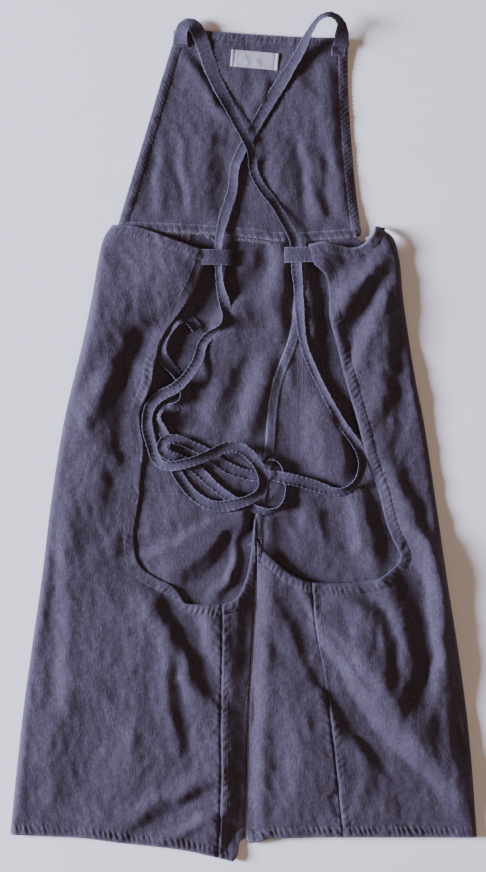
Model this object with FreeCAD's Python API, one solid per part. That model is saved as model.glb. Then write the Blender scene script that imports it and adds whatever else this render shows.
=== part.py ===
"""Artist smock apron, laid flat on its front with the open back facing up.

Split-leg wrap apron in washed linen: a bib, two legs that wrap round to an open
back, two corner loops, and two bib straps that cross and run through the loops.
Millimetres. +Y points to the top of the bib, +Z up, and z = 0 is the surface the
apron lies on. Left and right are those of this view.
Each cloth piece is a thin plate, and the plates are stacked in sewing order.
"""
import FreeCAD, Part
import math
import os

# ---------------------------------------------------------------- driving sizes
CLOTH = 0.8                 # thickness of one modelled ply
TAPE_WIDTH = 17.0           # strap and loop tape
TAPE_THICKNESS = 1.8
HEM = 12.0                  # leg hem, opening facing and wrap top hem
BIB_SIDE_HEM = 10.0
BIB_TOP_HEM = 8.0
CENTRE_SEAM_WIDTH = 11.0
ROLLED_HEM = 1.2            # thickness of the bib's double-turned hems
BODY_ROOM = 8.0             # empty space between the front and the back layer
SIDE_WALL = 1.0             # ply that turns up at a side fold or an inseam
LEG_GAP = 1.0               # between the two legs along their split
TURN_INSET = 0.5            # of an inseam turn from the edge of the leg above it
FOLD_GAP = 1.0              # between the plates each side of a fold line

BIB_FOLD_Y = 252.0
LEG_FOLD_Y = -200.0
WAIST_Y = 236.0

Z_POCKET = 0.0
Z_FRONT = Z_POCKET + CLOTH
Z_INSIDE = Z_FRONT + CLOTH              # upper face of the front layer
Z_BACK = Z_INSIDE + BODY_ROOM           # under face of the back layer
Z_TOP = Z_BACK + CLOTH

# A strap is a flat tape, and its solid is a round tube of the same section area.
STRAP_DIAMETER = 2 * math.sqrt(TAPE_WIDTH * TAPE_THICKNESS / math.pi)
LOOP_ROOM = STRAP_DIAMETER + 1.6        # clear height inside a corner loop
LOOP_WALL = 1.2
Z_LOOP = Z_BACK - 2.2                   # under face of a corner loop

# ------------------------------------------------------------- edges of the cloth
LEFT_SIDE = [(-147, 247), (-156.8, 231), (-170, 163.5), (-200.5, 29), (-222, -105),
             (-245, -284.5), (-261, -435)]
RIGHT_SIDE = [(147, 246), (171.4, 219.5), (178, 163.5), (200.5, 29), (219.5, -105),
              (241, -240), (261, -438)]
LEFT_HEM = [(-261, -435), (-179, -439), (-74, -451), (-41, -458), (-12, -465.3)]
RIGHT_HEM = [(2.5, -439), (5.5, -444.5), (13, -444), (29, -439)]
RIGHT_HEM_STRAIGHT = [(29, -439), (261, -438)]
SPLIT = [(13.5, -76), (14, -134), (9.6, -232), (4.8, -336), (2, -439)]
CROTCH = (14, -134)
CENTRE_SEAM = [(66, WAIST_Y), (62, 170), (56, 121), (36, 64), (28, -10), CROTCH]

LEFT_WRAP_TOP = [(-147, 247), (-117.6, 243.5), (-85.6, 232), (-44.5, 217)]
LEFT_CORNER = (-44.5, 200)
LEFT_OPENING = [LEFT_CORNER, (-58, 168), (-92, 116.5), (-103, 67), (-116, 37),
                (-112.6, 1), (-118, -68), (-123, -105), (-114, -137), (-88, -154),
                (-72, -165), (-58.6, -177.4)]
LEFT_U_END = (-24.6, -177.4)
LEFT_CROTCH_EDGE = [LEFT_U_END, (-8, -170), (1, -152.5), (7.6, -122), (13, -76)]
LEFT_LEG_SEAM = [LEFT_U_END, (-25.5, -307), (-29, -460.5)]

RIGHT_WRAP_TOP = [(147, 246), (138.9, 229.6), (119, 219.7), (89, 226.4), (72, 223.7)]
RIGHT_CORNER = (78, 201)
RIGHT_OPENING = [RIGHT_CORNER, (91, 189), (95, 163.5), (103, 113), (126, 28), (149, -49),
                 (159, -87), (174, -125), (151, -148), (100, -154), (75.6, -153)]
RIGHT_U_END = (75.6, -153)
RIGHT_CROTCH_EDGE = [RIGHT_U_END, (54, -144), (36, -129), (14.4, -104)]
RIGHT_LEG_SEAM = [RIGHT_U_END, (88, -249), (100, -336), (111, -438.6)]

BIB_TOP_LEFT = (-73.9, 465.3)
BIB_TOP_RIGHT = (115.4, 453.6)
BIB_LEFT = [BIB_TOP_LEFT, (-90.7, 410), (-117.6, 320), (-138.3, 251)]
BIB_RIGHT = [BIB_TOP_RIGHT, (115.6, 410), (121, 320), (128.5, 251)]

LABEL_SIZE = (53.0, 19.0)
LABEL_THICKNESS = 0.4
LABEL_CENTRE = (12.0, 430.0)
LABEL_TILT = -5.0

POCKET_WIDTH = 120.0
POCKET_HEIGHT = 165.0
POCKET_INNER_X = 58.0
POCKET_BOTTOM_Y = -57.0

# ------------------------------------------------------- routes of the two straps
# Centre line of each tape, from its sewn end on the bib to its free end.
LEFT_STRAP_ROUTE = [
    (-71, 446, 8.2), (-71, 459, 8.4), (-66, 468, 9), (-57.5, 469, 9.6), (-51, 461, 9.6),
    (-44, 442, 7), (-34, 412, 5.4), (-17, 379, 6.4), (-8, 362, 10.2), (1, 345, 12),
    (9, 327, 11.6), (10, 306, 6.6), (19, 288, 5.6), (34, 270, 6.2), (48, 246, 8.8),
    (57, 230, 12.2), (59, 214, 12.5), (59, 196, 12.3), (61, 180, 8.5), (62, 157, 6),
    (66, 116, 5.6), (76, 88, 5.3), (98, 44, 6), (109, 24, 7.2), (120, 9, 8.6),
    (129, -5, 9.4), (132.5, -21, 10), (127, -39, 9.6), (116, -50, 9), (102, -53, 8.2),
    (85, -47, 8.4), (69, -42, 10), (56, -39, 12.2), (42, -36, 12.2), (28, -34, 6.8),
    (12, -35, 6), (-2, -32, 5.4), (-18, -26, 5.2), (-33, -16, 5.2), (-44, -7, 5.4),
    (-55, -2, 7), (-67, 4, 11.4), (-80, 7, 12.2), (-90, 4, 12.2), (-92, -5, 12.2),
    (-84, -12, 12.2), (-74, -15, 12), (-64, -20, 7), (-54, -26, 5.3), (-45, -34, 5.2),
    (-35, -44, 5.2), (-22, -54, 5.2), (-8, -63, 5.3), (7, -69, 5.9), (22, -74, 6),
    (36, -73, 5.8), (46, -64, 5.4), (50, -50, 5.2), (49, -35, 5.2), (45, -22, 5.5),
    (37, -14, 6), (26, -13, 6.2), (15, -18, 6)]
RIGHT_STRAP_ROUTE = [
    (108, 444, 8.2), (110, 461, 8.8), (107, 477, 13), (95, 484, 21), (82, 477, 24),
    (72, 460, 20), (63, 441, 12), (52, 420, 6.5), (28, 383, 5.4), (9, 349, 5.1),
    (-2, 330, 5.1), (-11, 309, 5.3), (-12, 283, 5.5), (-20, 262, 6.6), (-26, 238, 11.6),
    (-28, 222, 12.5), (-28, 204, 12.5), (-27, 190, 11.8), (-25, 172, 7.4), (-21, 157, 5.3),
    (-19, 143, 5.2), (-25, 131, 5.2), (-38, 123, 5.2), (-47, 112, 5.4), (-50, 96, 8),
    (-58, 82, 11.8), (-67, 71, 12), (-78, 62, 10), (-92, 56, 7), (-103, 47, 5.6),
    (-108, 34, 5.3), (-108, 20, 5.3), (-105, 7, 5.4), (-101, -6, 5.6), (-96, -18, 7),
    (-86, -24, 11), (-71, -22, 16), (-53, -17, 17), (-35, -9, 15.6), (-17, -1, 13.6),
    (0, -4, 13.2), (13, -17, 13.6), (21, -32, 13.8), (21, -48, 13.2), (11, -59, 12.6),
    (-6, -65, 12.2), (-25, -69, 9.4), (-41, -66, 6.6), (-55, -57, 5.4), (-65, -46, 5.2),
    (-74, -33, 5.2), (-79, -20, 5.2), (-83, -7, 5.2), (-86, 7, 5.2), (-92, 20, 5.2),
    (-96, 31, 5.2), (-92, 40, 5.2), (-81, 40, 5.2), (-70, 46, 5.2), (-66, 57, 5.2),
    (-69, 69, 5.1), (-77, 81, 5), (-87, 92, 4.9), (-93, 104, 4.9), (-91, 119, 4.9),
    (-83, 132, 4.9), (-72, 142, 5), (-59, 140, 5.2), (-52, 129, 5.2)]


# ------------------------------------------------------------------ shape helpers
def vector(point, z=0.0):
    """A plan point at height z."""
    return FreeCAD.Vector(point[0], point[1], z)


def edge_through(points, z):
    """A straight edge through two points, or a smooth one through more."""
    places = [vector(point, z) for point in points]
    if len(places) == 2:
        return Part.makeLine(places[0], places[1])
    curve = Part.BSplineCurve()
    curve.interpolate(places)
    return curve.toShape()


def plate(stretches, low, high):
    """A flat solid from z = low to high whose outline is made of the given stretches."""
    outline = Part.Wire([edge_through(stretch, low) for stretch in stretches])
    return Part.Face(outline).extrude(FreeCAD.Vector(0, 0, high - low))


def polygon(points, low, high):
    """A flat solid with straight sides."""
    closed = points + points[:1]
    return plate([[a, b] for a, b in zip(closed, closed[1:])], low, high)


def back_to_front(points):
    return list(reversed(points))


def moved(points, dx):
    """The same points, dx further along X."""
    return [(x + dx, y) for x, y in points]


def beside(points, width):
    """Points at a distance to the left of a line as it is travelled."""
    shifted = []
    for i, (x, y) in enumerate(points):
        before = points[max(i - 1, 0)]
        after = points[min(i + 1, len(points) - 1)]
        dx, dy = after[0] - before[0], after[1] - before[1]
        size = math.hypot(dx, dy)
        shifted.append((x - width * dy / size, y + width * dx / size))
    return shifted


def band(line, width, low, high):
    """A strip of even width along one side of a line."""
    other = beside(line, width)
    ends = [[line[-1], other[-1]], [other[0], line[0]]]
    return plate([line, ends[0], back_to_front(other), ends[1]], low, high)


def wall(line, width, low=Z_INSIDE, high=Z_BACK):
    """Upright ply under an edge of the back layer, where the cloth turns round."""
    inner = moved(line, width)
    return plate([line, [line[-1], inner[-1]], back_to_front(inner), [inner[0], line[0]]],
                 low, high)


def above_fold(shape, fold_y, gap):
    """The part of a shape on the bib side of a fold line."""
    return shape.common(Part.makeBox(800, 800, 200, FreeCAD.Vector(-400, fold_y + gap / 2, -50)))


def below_fold(shape, fold_y, gap):
    """The part of a shape on the hem side of a fold line."""
    corner = FreeCAD.Vector(-400, fold_y - gap / 2 - 800, -50)
    return shape.common(Part.makeBox(800, 800, 200, corner))


# ------------------------------------------------------------------ strap helpers
def cut_route(route, y, room):
    """A route's two parts, each ending room short of the line at y."""
    for i, (a, b) in enumerate(zip(route, route[1:])):
        if a[1] > y >= b[1]:
            run = [q - p for p, q in zip(a, b)]
            last = tuple(p + d * (a[1] - y - room) / (a[1] - b[1]) for p, d in zip(a, run))
            first = tuple(p + d * (a[1] - y + room) / (a[1] - b[1]) for p, d in zip(a, run))
            return route[:i + 1] + [last], [first] + route[i + 1:]
    raise ValueError("the route never crosses the line")


def tape_path(route):
    """Straight runs joined by tangent arcs, each as large as its two runs allow."""
    points = [FreeCAD.Vector(*point) for point in route]
    edges = []
    radii = []
    start = points[0]
    for before, corner, after in zip(points, points[1:], points[2:]):
        inward = corner - before
        outward = after - corner
        reach = 0.45 * min(inward.Length, outward.Length)
        turn = inward.getAngle(outward)
        radius = reach / math.tan(turn / 2)
        inward.normalize()
        outward.normalize()
        first = corner - inward * reach
        last = corner + outward * reach
        to_centre = (outward - inward).normalize()
        middle = corner + to_centre * (radius / math.cos(turn / 2) - radius)
        edges.append(Part.LineSegment(start, first).toShape())
        edges.append(Part.Arc(first, middle, last).toShape())
        radii.append(radius)
        start = last
    edges.append(Part.LineSegment(start, points[-1]).toShape())
    return Part.Wire(edges), radii


def tape_tube(name, route):
    """The round solid that stands for a strap, and a check of its bends and volume."""
    path, radii = tape_path(route)
    run = FreeCAD.Vector(*route[1]) - FreeCAD.Vector(*route[0])
    circle = Part.makeCircle(STRAP_DIAMETER / 2, FreeCAD.Vector(*route[0]), run)
    tube = path.makePipe(Part.Face(Part.Wire(circle)))
    section = math.pi * STRAP_DIAMETER ** 2 / 4
    print(f"{name}: length {path.Length:.0f}, radii {min(radii):.1f} to {max(radii):.0f},"
          f" volume ratio {tube.Volume / (section * path.Length):.4f}, valid {tube.isValid()}")
    return tube


# ------------------------------------------------------------------------ the bib
def bib_panel():
    """The bib, down to the line it folds on."""
    outline = [BIB_LEFT, [BIB_LEFT[-1], BIB_RIGHT[-1]], back_to_front(BIB_RIGHT),
               [BIB_TOP_RIGHT, BIB_TOP_LEFT]]
    return above_fold(plate(outline, Z_FRONT, Z_INSIDE), BIB_FOLD_Y, FOLD_GAP)


def bib_side_hem(edge, inward):
    """A double-turned hem on the inner face of one side of the bib."""
    hem = band(edge, inward * BIB_SIDE_HEM, Z_INSIDE, Z_INSIDE + ROLLED_HEM)
    return above_fold(hem, BIB_FOLD_Y, FOLD_GAP)


def bib_top_hem():
    """The turned hem along the top of the bib, between the two side hems."""
    slope = (BIB_TOP_RIGHT[1] - BIB_TOP_LEFT[1]) / (BIB_TOP_RIGHT[0] - BIB_TOP_LEFT[0])
    room = BIB_SIDE_HEM + 1.0
    left = (BIB_TOP_LEFT[0] + room, BIB_TOP_LEFT[1] + slope * room)
    right = (BIB_TOP_RIGHT[0] - room, BIB_TOP_RIGHT[1] - slope * room)
    return band([left, right], -BIB_TOP_HEM, Z_INSIDE, Z_INSIDE + CLOTH)


def strap_sewn_end(x, y):
    """The flat end of a strap, stitched down over a top corner of the bib."""
    low = Z_INSIDE + ROLLED_HEM
    corner = FreeCAD.Vector(x - TAPE_WIDTH / 2, y - TAPE_WIDTH, low)
    return Part.makeBox(TAPE_WIDTH, TAPE_WIDTH, TAPE_THICKNESS, corner)


def inner_label():
    """A plain satin label sewn to the inside of the bib."""
    width, height = LABEL_SIZE
    label = Part.makeBox(width, height, LABEL_THICKNESS,
                         FreeCAD.Vector(-width / 2, -height / 2, 0))
    label.rotate(FreeCAD.Vector(0, 0, 0), FreeCAD.Vector(0, 0, 1), LABEL_TILT)
    label.translate(vector(LABEL_CENTRE, Z_INSIDE))
    return label


# ------------------------------------------------------------------ the front layer
def front_panel(side):
    """One half of the front, from the waist seam to the leg hem."""
    if side == "left":
        split = moved(SPLIT[1:], -LEG_GAP / 2)
        outer = [(-154.4, WAIST_Y)] + LEFT_SIDE[2:]
        hem = [LEFT_HEM, [LEFT_HEM[-1], split[-1]]]
    else:
        split = moved(SPLIT[1:], LEG_GAP / 2)
        outer = [(155, WAIST_Y)] + RIGHT_SIDE[1:]
        hem = [back_to_front(RIGHT_HEM_STRAIGHT), back_to_front(RIGHT_HEM)]
    outline = [outer] + hem + [back_to_front(split), [split[0], CROTCH],
               back_to_front(CENTRE_SEAM), [CENTRE_SEAM[0], outer[0]]]
    return plate(outline, Z_FRONT, Z_INSIDE)


def centre_front_seam():
    """The felled seam that joins the two halves of the front, on its inner face."""
    line = CENTRE_SEAM[:-1] + [(CROTCH[0], CROTCH[1] + 4)]
    edge = moved(line, -CENTRE_SEAM_WIDTH / 2)
    return band(edge, CENTRE_SEAM_WIDTH, Z_INSIDE, Z_INSIDE + CLOTH)


def waist_seam():
    """The seam allowances of bib and front, pressed up over the foot of the bib."""
    top = BIB_FOLD_Y - FOLD_GAP / 2
    corners = [(BIB_LEFT[-1][0] - 3, WAIST_Y), (BIB_RIGHT[-1][0] + 2, WAIST_Y),
               (BIB_RIGHT[-1][0], top), (BIB_LEFT[-1][0], top)]
    return polygon(corners, Z_FRONT, Z_INSIDE + CLOTH)


def pocket(side):
    """A patch pocket, flat and empty, on the outside of the front."""
    x = POCKET_INNER_X if side == "right" else -POCKET_INNER_X - POCKET_WIDTH
    corner = FreeCAD.Vector(x, POCKET_BOTTOM_Y, Z_POCKET)
    return Part.makeBox(POCKET_WIDTH, POCKET_HEIGHT, CLOTH, corner)


# ------------------------------------------------------------------- the back layer
def back_wrap(side):
    """The panel that wraps round the hip to the back opening and down the leg."""
    if side == "left":
        hem = [(x, y) for x, y in LEFT_HEM[:-1] if x < LEFT_LEG_SEAM[-1][0]]
        hem.append(LEFT_LEG_SEAM[-1])
        outline = [LEFT_WRAP_TOP, [LEFT_WRAP_TOP[-1], LEFT_CORNER], LEFT_OPENING,
                   [LEFT_OPENING[-1], LEFT_U_END], LEFT_LEG_SEAM, back_to_front(hem),
                   back_to_front(LEFT_SIDE)]
        turn = wall(LEFT_SIDE, SIDE_WALL)
    else:
        outline = [RIGHT_WRAP_TOP, [RIGHT_WRAP_TOP[-1], RIGHT_CORNER], RIGHT_OPENING,
                   RIGHT_LEG_SEAM, [RIGHT_LEG_SEAM[-1], RIGHT_HEM_STRAIGHT[1]],
                   back_to_front(RIGHT_SIDE)]
        turn = wall(RIGHT_SIDE, -SIDE_WALL)
    return plate(outline, Z_BACK, Z_TOP).fuse(turn).removeSplitter()


def inner_leg(side):
    """The piece between the back leg seam and the leg split, with its inseam turn."""
    if side == "left":
        split = moved(SPLIT, -LEG_GAP / 2)
        crotch = LEFT_CROTCH_EDGE[:-1] + [split[0]]
        hem = [LEFT_LEG_SEAM[-1], (-12, -465.3), split[-1]]
        outline = [crotch, split, [split[-1], hem[1]], [hem[1], hem[0]],
                   back_to_front(LEFT_LEG_SEAM)]
        turn = wall(moved(split[1:], -TURN_INSET), -SIDE_WALL)
    else:
        split = moved([(14, -104)] + SPLIT[1:], LEG_GAP / 2)
        crotch = RIGHT_CROTCH_EDGE[:-1] + [split[0]]
        outline = [crotch, split, RIGHT_HEM, [RIGHT_HEM[-1], RIGHT_LEG_SEAM[-1]],
                   back_to_front(RIGHT_LEG_SEAM)]
        turn = wall(moved(split[1:], TURN_INSET), SIDE_WALL)
    return plate(outline, Z_BACK, Z_TOP).fuse(turn).removeSplitter()


def opening_facing(side):
    """The curved strip that faces the edge of a back opening, on its inner side."""
    if side == "left":
        return band(LEFT_OPENING + [(-40, -177.6), (-27, -177.4)], -HEM, Z_BACK - CLOTH, Z_BACK)
    return band(RIGHT_OPENING + [(56, -145)], HEM, Z_BACK - CLOTH, Z_BACK)


def wrap_top_hem(side):
    """The turned hem along the top of a wrap panel, on its inner side."""
    if side == "left":
        return band(LEFT_WRAP_TOP[1:], -HEM, Z_BACK - CLOTH, Z_BACK)
    return band(RIGHT_WRAP_TOP[1:], HEM, Z_BACK - CLOTH, Z_BACK)


def leg_hem(side):
    """The hem turned up inside the foot of one leg, a closed band all round it."""
    if side == "left":
        line = [(-258, -435.2)] + LEFT_HEM[1:-1] + [(-17, -464.2)]
    else:
        line = [(6, -442), (30, -438.9), (60, -438.8), (160, -438.4), (258, -438)]
    low = band(line, HEM, Z_INSIDE, Z_INSIDE + CLOTH)
    high = band(line, HEM, Z_BACK - CLOTH, Z_BACK)
    ends = []
    upper = beside(line, HEM)
    for i, inward in ((0, SIDE_WALL), (-1, -SIDE_WALL)):
        corners = [line[i], (line[i][0] + inward, line[i][1]),
                   (upper[i][0] + inward, upper[i][1]), upper[i]]
        ends.append(polygon(corners, Z_INSIDE, Z_BACK))
    return low.fuse([high] + ends).removeSplitter()


def corner_loop(x_low, x_high, y_low, y_high, tab_end):
    """A tape loop past a wrap corner, with its tab stitched down on the corner."""
    height = LOOP_ROOM + 2 * LOOP_WALL
    depth = y_high - y_low
    outer = Part.makeBox(x_high - x_low, depth, height, FreeCAD.Vector(x_low, y_low, Z_LOOP))
    inner = Part.makeBox(x_high - x_low - 2 * LOOP_WALL, depth + 2, LOOP_ROOM,
                         FreeCAD.Vector(x_low + LOOP_WALL, y_low - 1, Z_LOOP + LOOP_WALL))
    tab_low = min(tab_end, x_high)
    tab_high = max(tab_end, x_low)
    tab = Part.makeBox(tab_high - tab_low, depth, LOOP_WALL,
                       FreeCAD.Vector(tab_low, y_low, Z_TOP))
    corners = [edge for edge in outer.Edges if abs(edge.tangentAt(0).y) > 0.99]
    rounded = outer.makeFillet(2.0, corners)
    return rounded.fuse(tab).cut(inner).removeSplitter()


# ----------------------------------------------------------------------- assembly
def apron():
    """Every piece by its node name."""
    pieces = {
        "bib_panel": bib_panel(),
        "bib_top_hem": bib_top_hem(),
        "bib_left_side_hem": bib_side_hem(BIB_LEFT, 1),
        "bib_right_side_hem": bib_side_hem(BIB_RIGHT, -1),
        "inner_label": inner_label(),
        "left_strap_sewn_end": strap_sewn_end(-70, 462),
        "right_strap_sewn_end": strap_sewn_end(106, 452),
        "waist_seam": waist_seam(),
        "centre_front_seam": centre_front_seam(),
        "left_strap_loop": corner_loop(-40, -15, 201, 218, -52),
        "right_strap_loop": corner_loop(44.6, 72, 204, 220.6, 88.5),
    }
    for side in ("left", "right"):
        front = front_panel(side)
        wrap = back_wrap(side)
        inner = inner_leg(side)
        pieces[f"{side}_front_panel"] = above_fold(front, LEG_FOLD_Y, FOLD_GAP)
        pieces[f"{side}_back_wrap"] = above_fold(wrap, LEG_FOLD_Y, FOLD_GAP)
        pieces[f"{side}_crotch_piece"] = above_fold(inner, LEG_FOLD_Y, FOLD_GAP)
        pieces[f"{side}_leg_front"] = below_fold(front, LEG_FOLD_Y, FOLD_GAP)
        pieces[f"{side}_leg_back"] = below_fold(wrap, LEG_FOLD_Y, FOLD_GAP)
        pieces[f"{side}_inner_leg"] = below_fold(inner, LEG_FOLD_Y, FOLD_GAP)
        pieces[f"{side}_leg_hem"] = leg_hem(side)
        pieces[f"{side}_opening_facing"] = opening_facing(side)
        pieces[f"{side}_wrap_top_hem"] = wrap_top_hem(side)
        pieces[f"{side}_pocket"] = pocket(side)
    for side, route in (("left", LEFT_STRAP_ROUTE), ("right", RIGHT_STRAP_ROUTE)):
        upper, tail = cut_route(route, BIB_FOLD_Y, 2.0)
        pieces[f"{side}_strap_upper"] = tape_tube(f"{side} strap, upper", upper)
        pieces[f"{side}_strap_tail"] = tape_tube(f"{side} strap, tail", tail)
    return pieces


os.makedirs("parts", exist_ok=True)
for node, shape in apron().items():
    shape.exportStep(f"parts/{node}.step")
    box = shape.BoundBox
    print(f"{node}: {len(shape.Solids)} solid, {shape.isValid()}, volume {shape.Volume:.0f},"
          f" x {box.XMin:.1f} to {box.XMax:.1f}, y {box.YMin:.1f} to {box.YMax:.1f},"
          f" z {box.ZMin:.1f} to {box.ZMax:.1f}")
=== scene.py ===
"""Looks of the artist smock apron: washed linen laid flat, back side up.

Plans are in millimetres in the part's own frame (+Y to the top of the bib, +Z up) and turn
into metres where a mesh is made. Every cloth piece is a sheet meshed inside its outline and
raised by a height function: layers, folds, puckered hems and stitching are all real shape.
"""
import math

import bpy
import numpy as np
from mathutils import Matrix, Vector, geometry


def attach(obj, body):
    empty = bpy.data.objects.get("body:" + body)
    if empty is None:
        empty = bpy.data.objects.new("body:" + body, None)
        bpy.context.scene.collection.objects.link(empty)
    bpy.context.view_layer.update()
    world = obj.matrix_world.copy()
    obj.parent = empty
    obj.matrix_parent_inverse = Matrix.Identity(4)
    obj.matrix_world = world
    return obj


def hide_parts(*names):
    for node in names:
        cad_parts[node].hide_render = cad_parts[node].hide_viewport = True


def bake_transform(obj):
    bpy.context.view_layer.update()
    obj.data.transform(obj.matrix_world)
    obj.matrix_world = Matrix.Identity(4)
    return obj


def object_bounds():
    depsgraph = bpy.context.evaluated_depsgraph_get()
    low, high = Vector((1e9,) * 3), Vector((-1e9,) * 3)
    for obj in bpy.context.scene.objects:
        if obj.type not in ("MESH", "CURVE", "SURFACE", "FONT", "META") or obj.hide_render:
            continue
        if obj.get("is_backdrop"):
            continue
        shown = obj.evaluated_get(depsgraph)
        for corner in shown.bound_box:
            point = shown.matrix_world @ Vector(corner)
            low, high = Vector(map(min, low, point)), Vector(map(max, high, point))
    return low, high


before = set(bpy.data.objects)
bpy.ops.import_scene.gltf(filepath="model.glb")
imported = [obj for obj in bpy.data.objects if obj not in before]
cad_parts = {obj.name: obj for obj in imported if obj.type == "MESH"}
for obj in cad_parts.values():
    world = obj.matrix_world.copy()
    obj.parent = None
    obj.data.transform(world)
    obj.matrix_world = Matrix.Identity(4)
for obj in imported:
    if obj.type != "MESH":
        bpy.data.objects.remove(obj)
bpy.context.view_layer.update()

MM = 0.001

# ---------------------------------------------------------------- driving sizes, mm
PLY = 0.9                       # thickness of one ply of linen
FRONT_Z = 4.1                   # upper face of the front layer, before folds
FRONT_TOP = 10.0                # and the highest that its folds reach
BIB_Z = 4.2                     # the upper face of the bib
BACK_Z = 10.6                   # upper face of the back layer, before folds
BACK_FOLD_GAIN = 1.6            # how much the tabled folds of the back stand up
BACK_OVER_FRONT = 2.3           # least height of the back layer above the front
SIDE_Z = 1.5                    # of the back layer where it turns down at the sides
SPLIT_Z = 2.6                   # and along the split of the legs
HEM = 12.0                      # width of the hems of the skirt
BIB_HEM = 10.0                  # of the hems down the sides of the bib
BIB_TOP_HEM = 8.6               # of the hem along its top
CENTRE_WIDTH = 11.0             # of the felled seam down the front
TAPE = 17.0                     # width of the straps' tape, laid flat
TAPE_PLY = 1.6                  # and its thickness, folded as sewn
STRAP_CLEAR = 2.0               # of a strap's middle above the cloth it lies on
PUCKER = 6.2                    # spacing of the puckers along a hem
STITCH = 3.1                    # spacing of the stitches
POCKET_X = (-118.0, 118.0)      # middles of the two pockets
POCKET_Y = (-57.0, 108.0)       # their foot and their top
POCKET_HALF = 60.0              # half their width
VIEW_CENTRE = (-1.0, 10.0)      # plan point under the camera
CAMERA_HEIGHT = 2.2             # metres
FLOOR = 30000.0                 # half the width of the floor
VIEW_LENGTH = 976.0             # plan length that the view's long side takes in

# ------------------------------------------------------------------- plan curves, mm
LEFT_SIDE = [(-147, 246), (-156.8, 231), (-162.4, 208), (-170, 163.5), (-179, 119),
             (-200.5, 29), (-215, -60), (-226, -150), (-245, -284.5), (-255, -374),
             (-261, -435)]
RIGHT_SIDE = [(147, 245), (158, 239), (167, 231), (173.6, 208), (178, 163.5), (191.5, 74),
              (200.5, 29), (214, -60), (227, -150), (241, -240), (252, -329), (260.5, -438)]
LEFT_HEM = [(-261, -435), (-179, -439), (-134, -444.6), (-74, -451), (-41, -458),
            (-12, -465.3)]
LEFT_TIP = [(-12, -465.3), (-7, -458), (-4.5, -443.5), (1.5, -439)]
RIGHT_HEM = [(2.5, -439), (5.5, -444.5), (13, -444), (29, -439.4)]
RIGHT_HEM_STRAIGHT = [(29, -439.4), (96, -437.5), (175, -437.5), (260.5, -438)]
SPLIT = [(13.5, -76), (14, -134), (12.6, -180), (9.6, -232), (6.2, -284), (4.8, -336),
         (3.6, -390), (2, -439)]
CENTRE_SEAM = [(66, 235), (62, 170), (56, 121), (36, 64), (28, -10), (17, -77), (14, -134)]

LEFT_WRAP_TOP = [(-147, 246), (-117.6, 243.5), (-85.6, 232), (-58, 222), (-44.5, 217)]
LEFT_OPENING = [(-44.5, 200), (-58, 168), (-81, 134), (-92, 116.5), (-98.6, 92),
                (-103, 67), (-110, 50), (-116, 37), (-115, 16), (-112, 1), (-115, -37),
                (-118, -68), (-123, -98), (-122, -114), (-120, -127), (-114, -137),
                (-107, -143), (-95, -150), (-80, -157), (-74, -162), (-69, -169.5),
                (-65, -175.5), (-58.6, -177.4)]
LEFT_U = [(-58.6, -177.4), (-24.6, -177.4)]
LEFT_CROTCH = [(-24.6, -177.4), (-12, -173), (-5, -166), (1, -152.5), (4.6, -140),
               (7.6, -122), (9.4, -104), (11.2, -86), (13, -76)]
LEFT_SEAM = [(-24.6, -177.4), (-24.6, -240), (-26, -307), (-25.5, -374), (-29, -460.5)]

RIGHT_WRAP_TOP = [(147, 245), (143.5, 236), (138.9, 229.6), (129, 221.5), (119, 220),
                  (107, 222.9), (89, 226.8), (80, 225), (72, 223.7)]
RIGHT_OPENING = [(78, 201), (85, 195), (91, 189), (94, 179), (95, 163.5), (94.8, 147),
                 (97, 134), (103, 113), (113, 72), (126, 28), (139, -23), (149, -49),
                 (159, -87), (167, -108), (174, -123), (172, -131), (164, -139),
                 (151, -148), (128, -153), (100, -154), (75.6, -153)]
RIGHT_CROTCH = [(75.6, -153), (54, -144), (36, -129), (23, -116), (14.4, -104)]
RIGHT_SEAM = [(75.6, -153), (79, -197), (88, -249), (94.8, -294), (100, -336),
              (105, -381), (111, -438)]

BIB_LEFT = [(-73.9, 464.8), (-90.7, 410), (-104, 365), (-117.6, 320), (-131, 275.5),
            (-138, 252), (-141.5, 240)]
BIB_RIGHT = [(115.4, 453.6), (115.6, 410), (117.6, 365), (121, 320), (125.4, 275.5),
             (128.4, 252), (130.5, 236)]
BIB_TOP = [(-73.9, 464.8), (-40, 461.6), (20, 457.5), (70, 454.6), (115.4, 453.6)]
WAIST = [(-141.5, 240), (-88, 238.5), (-36, 236), (10, 232), (44.8, 228), (90, 230),
         (130.5, 233)]

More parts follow.
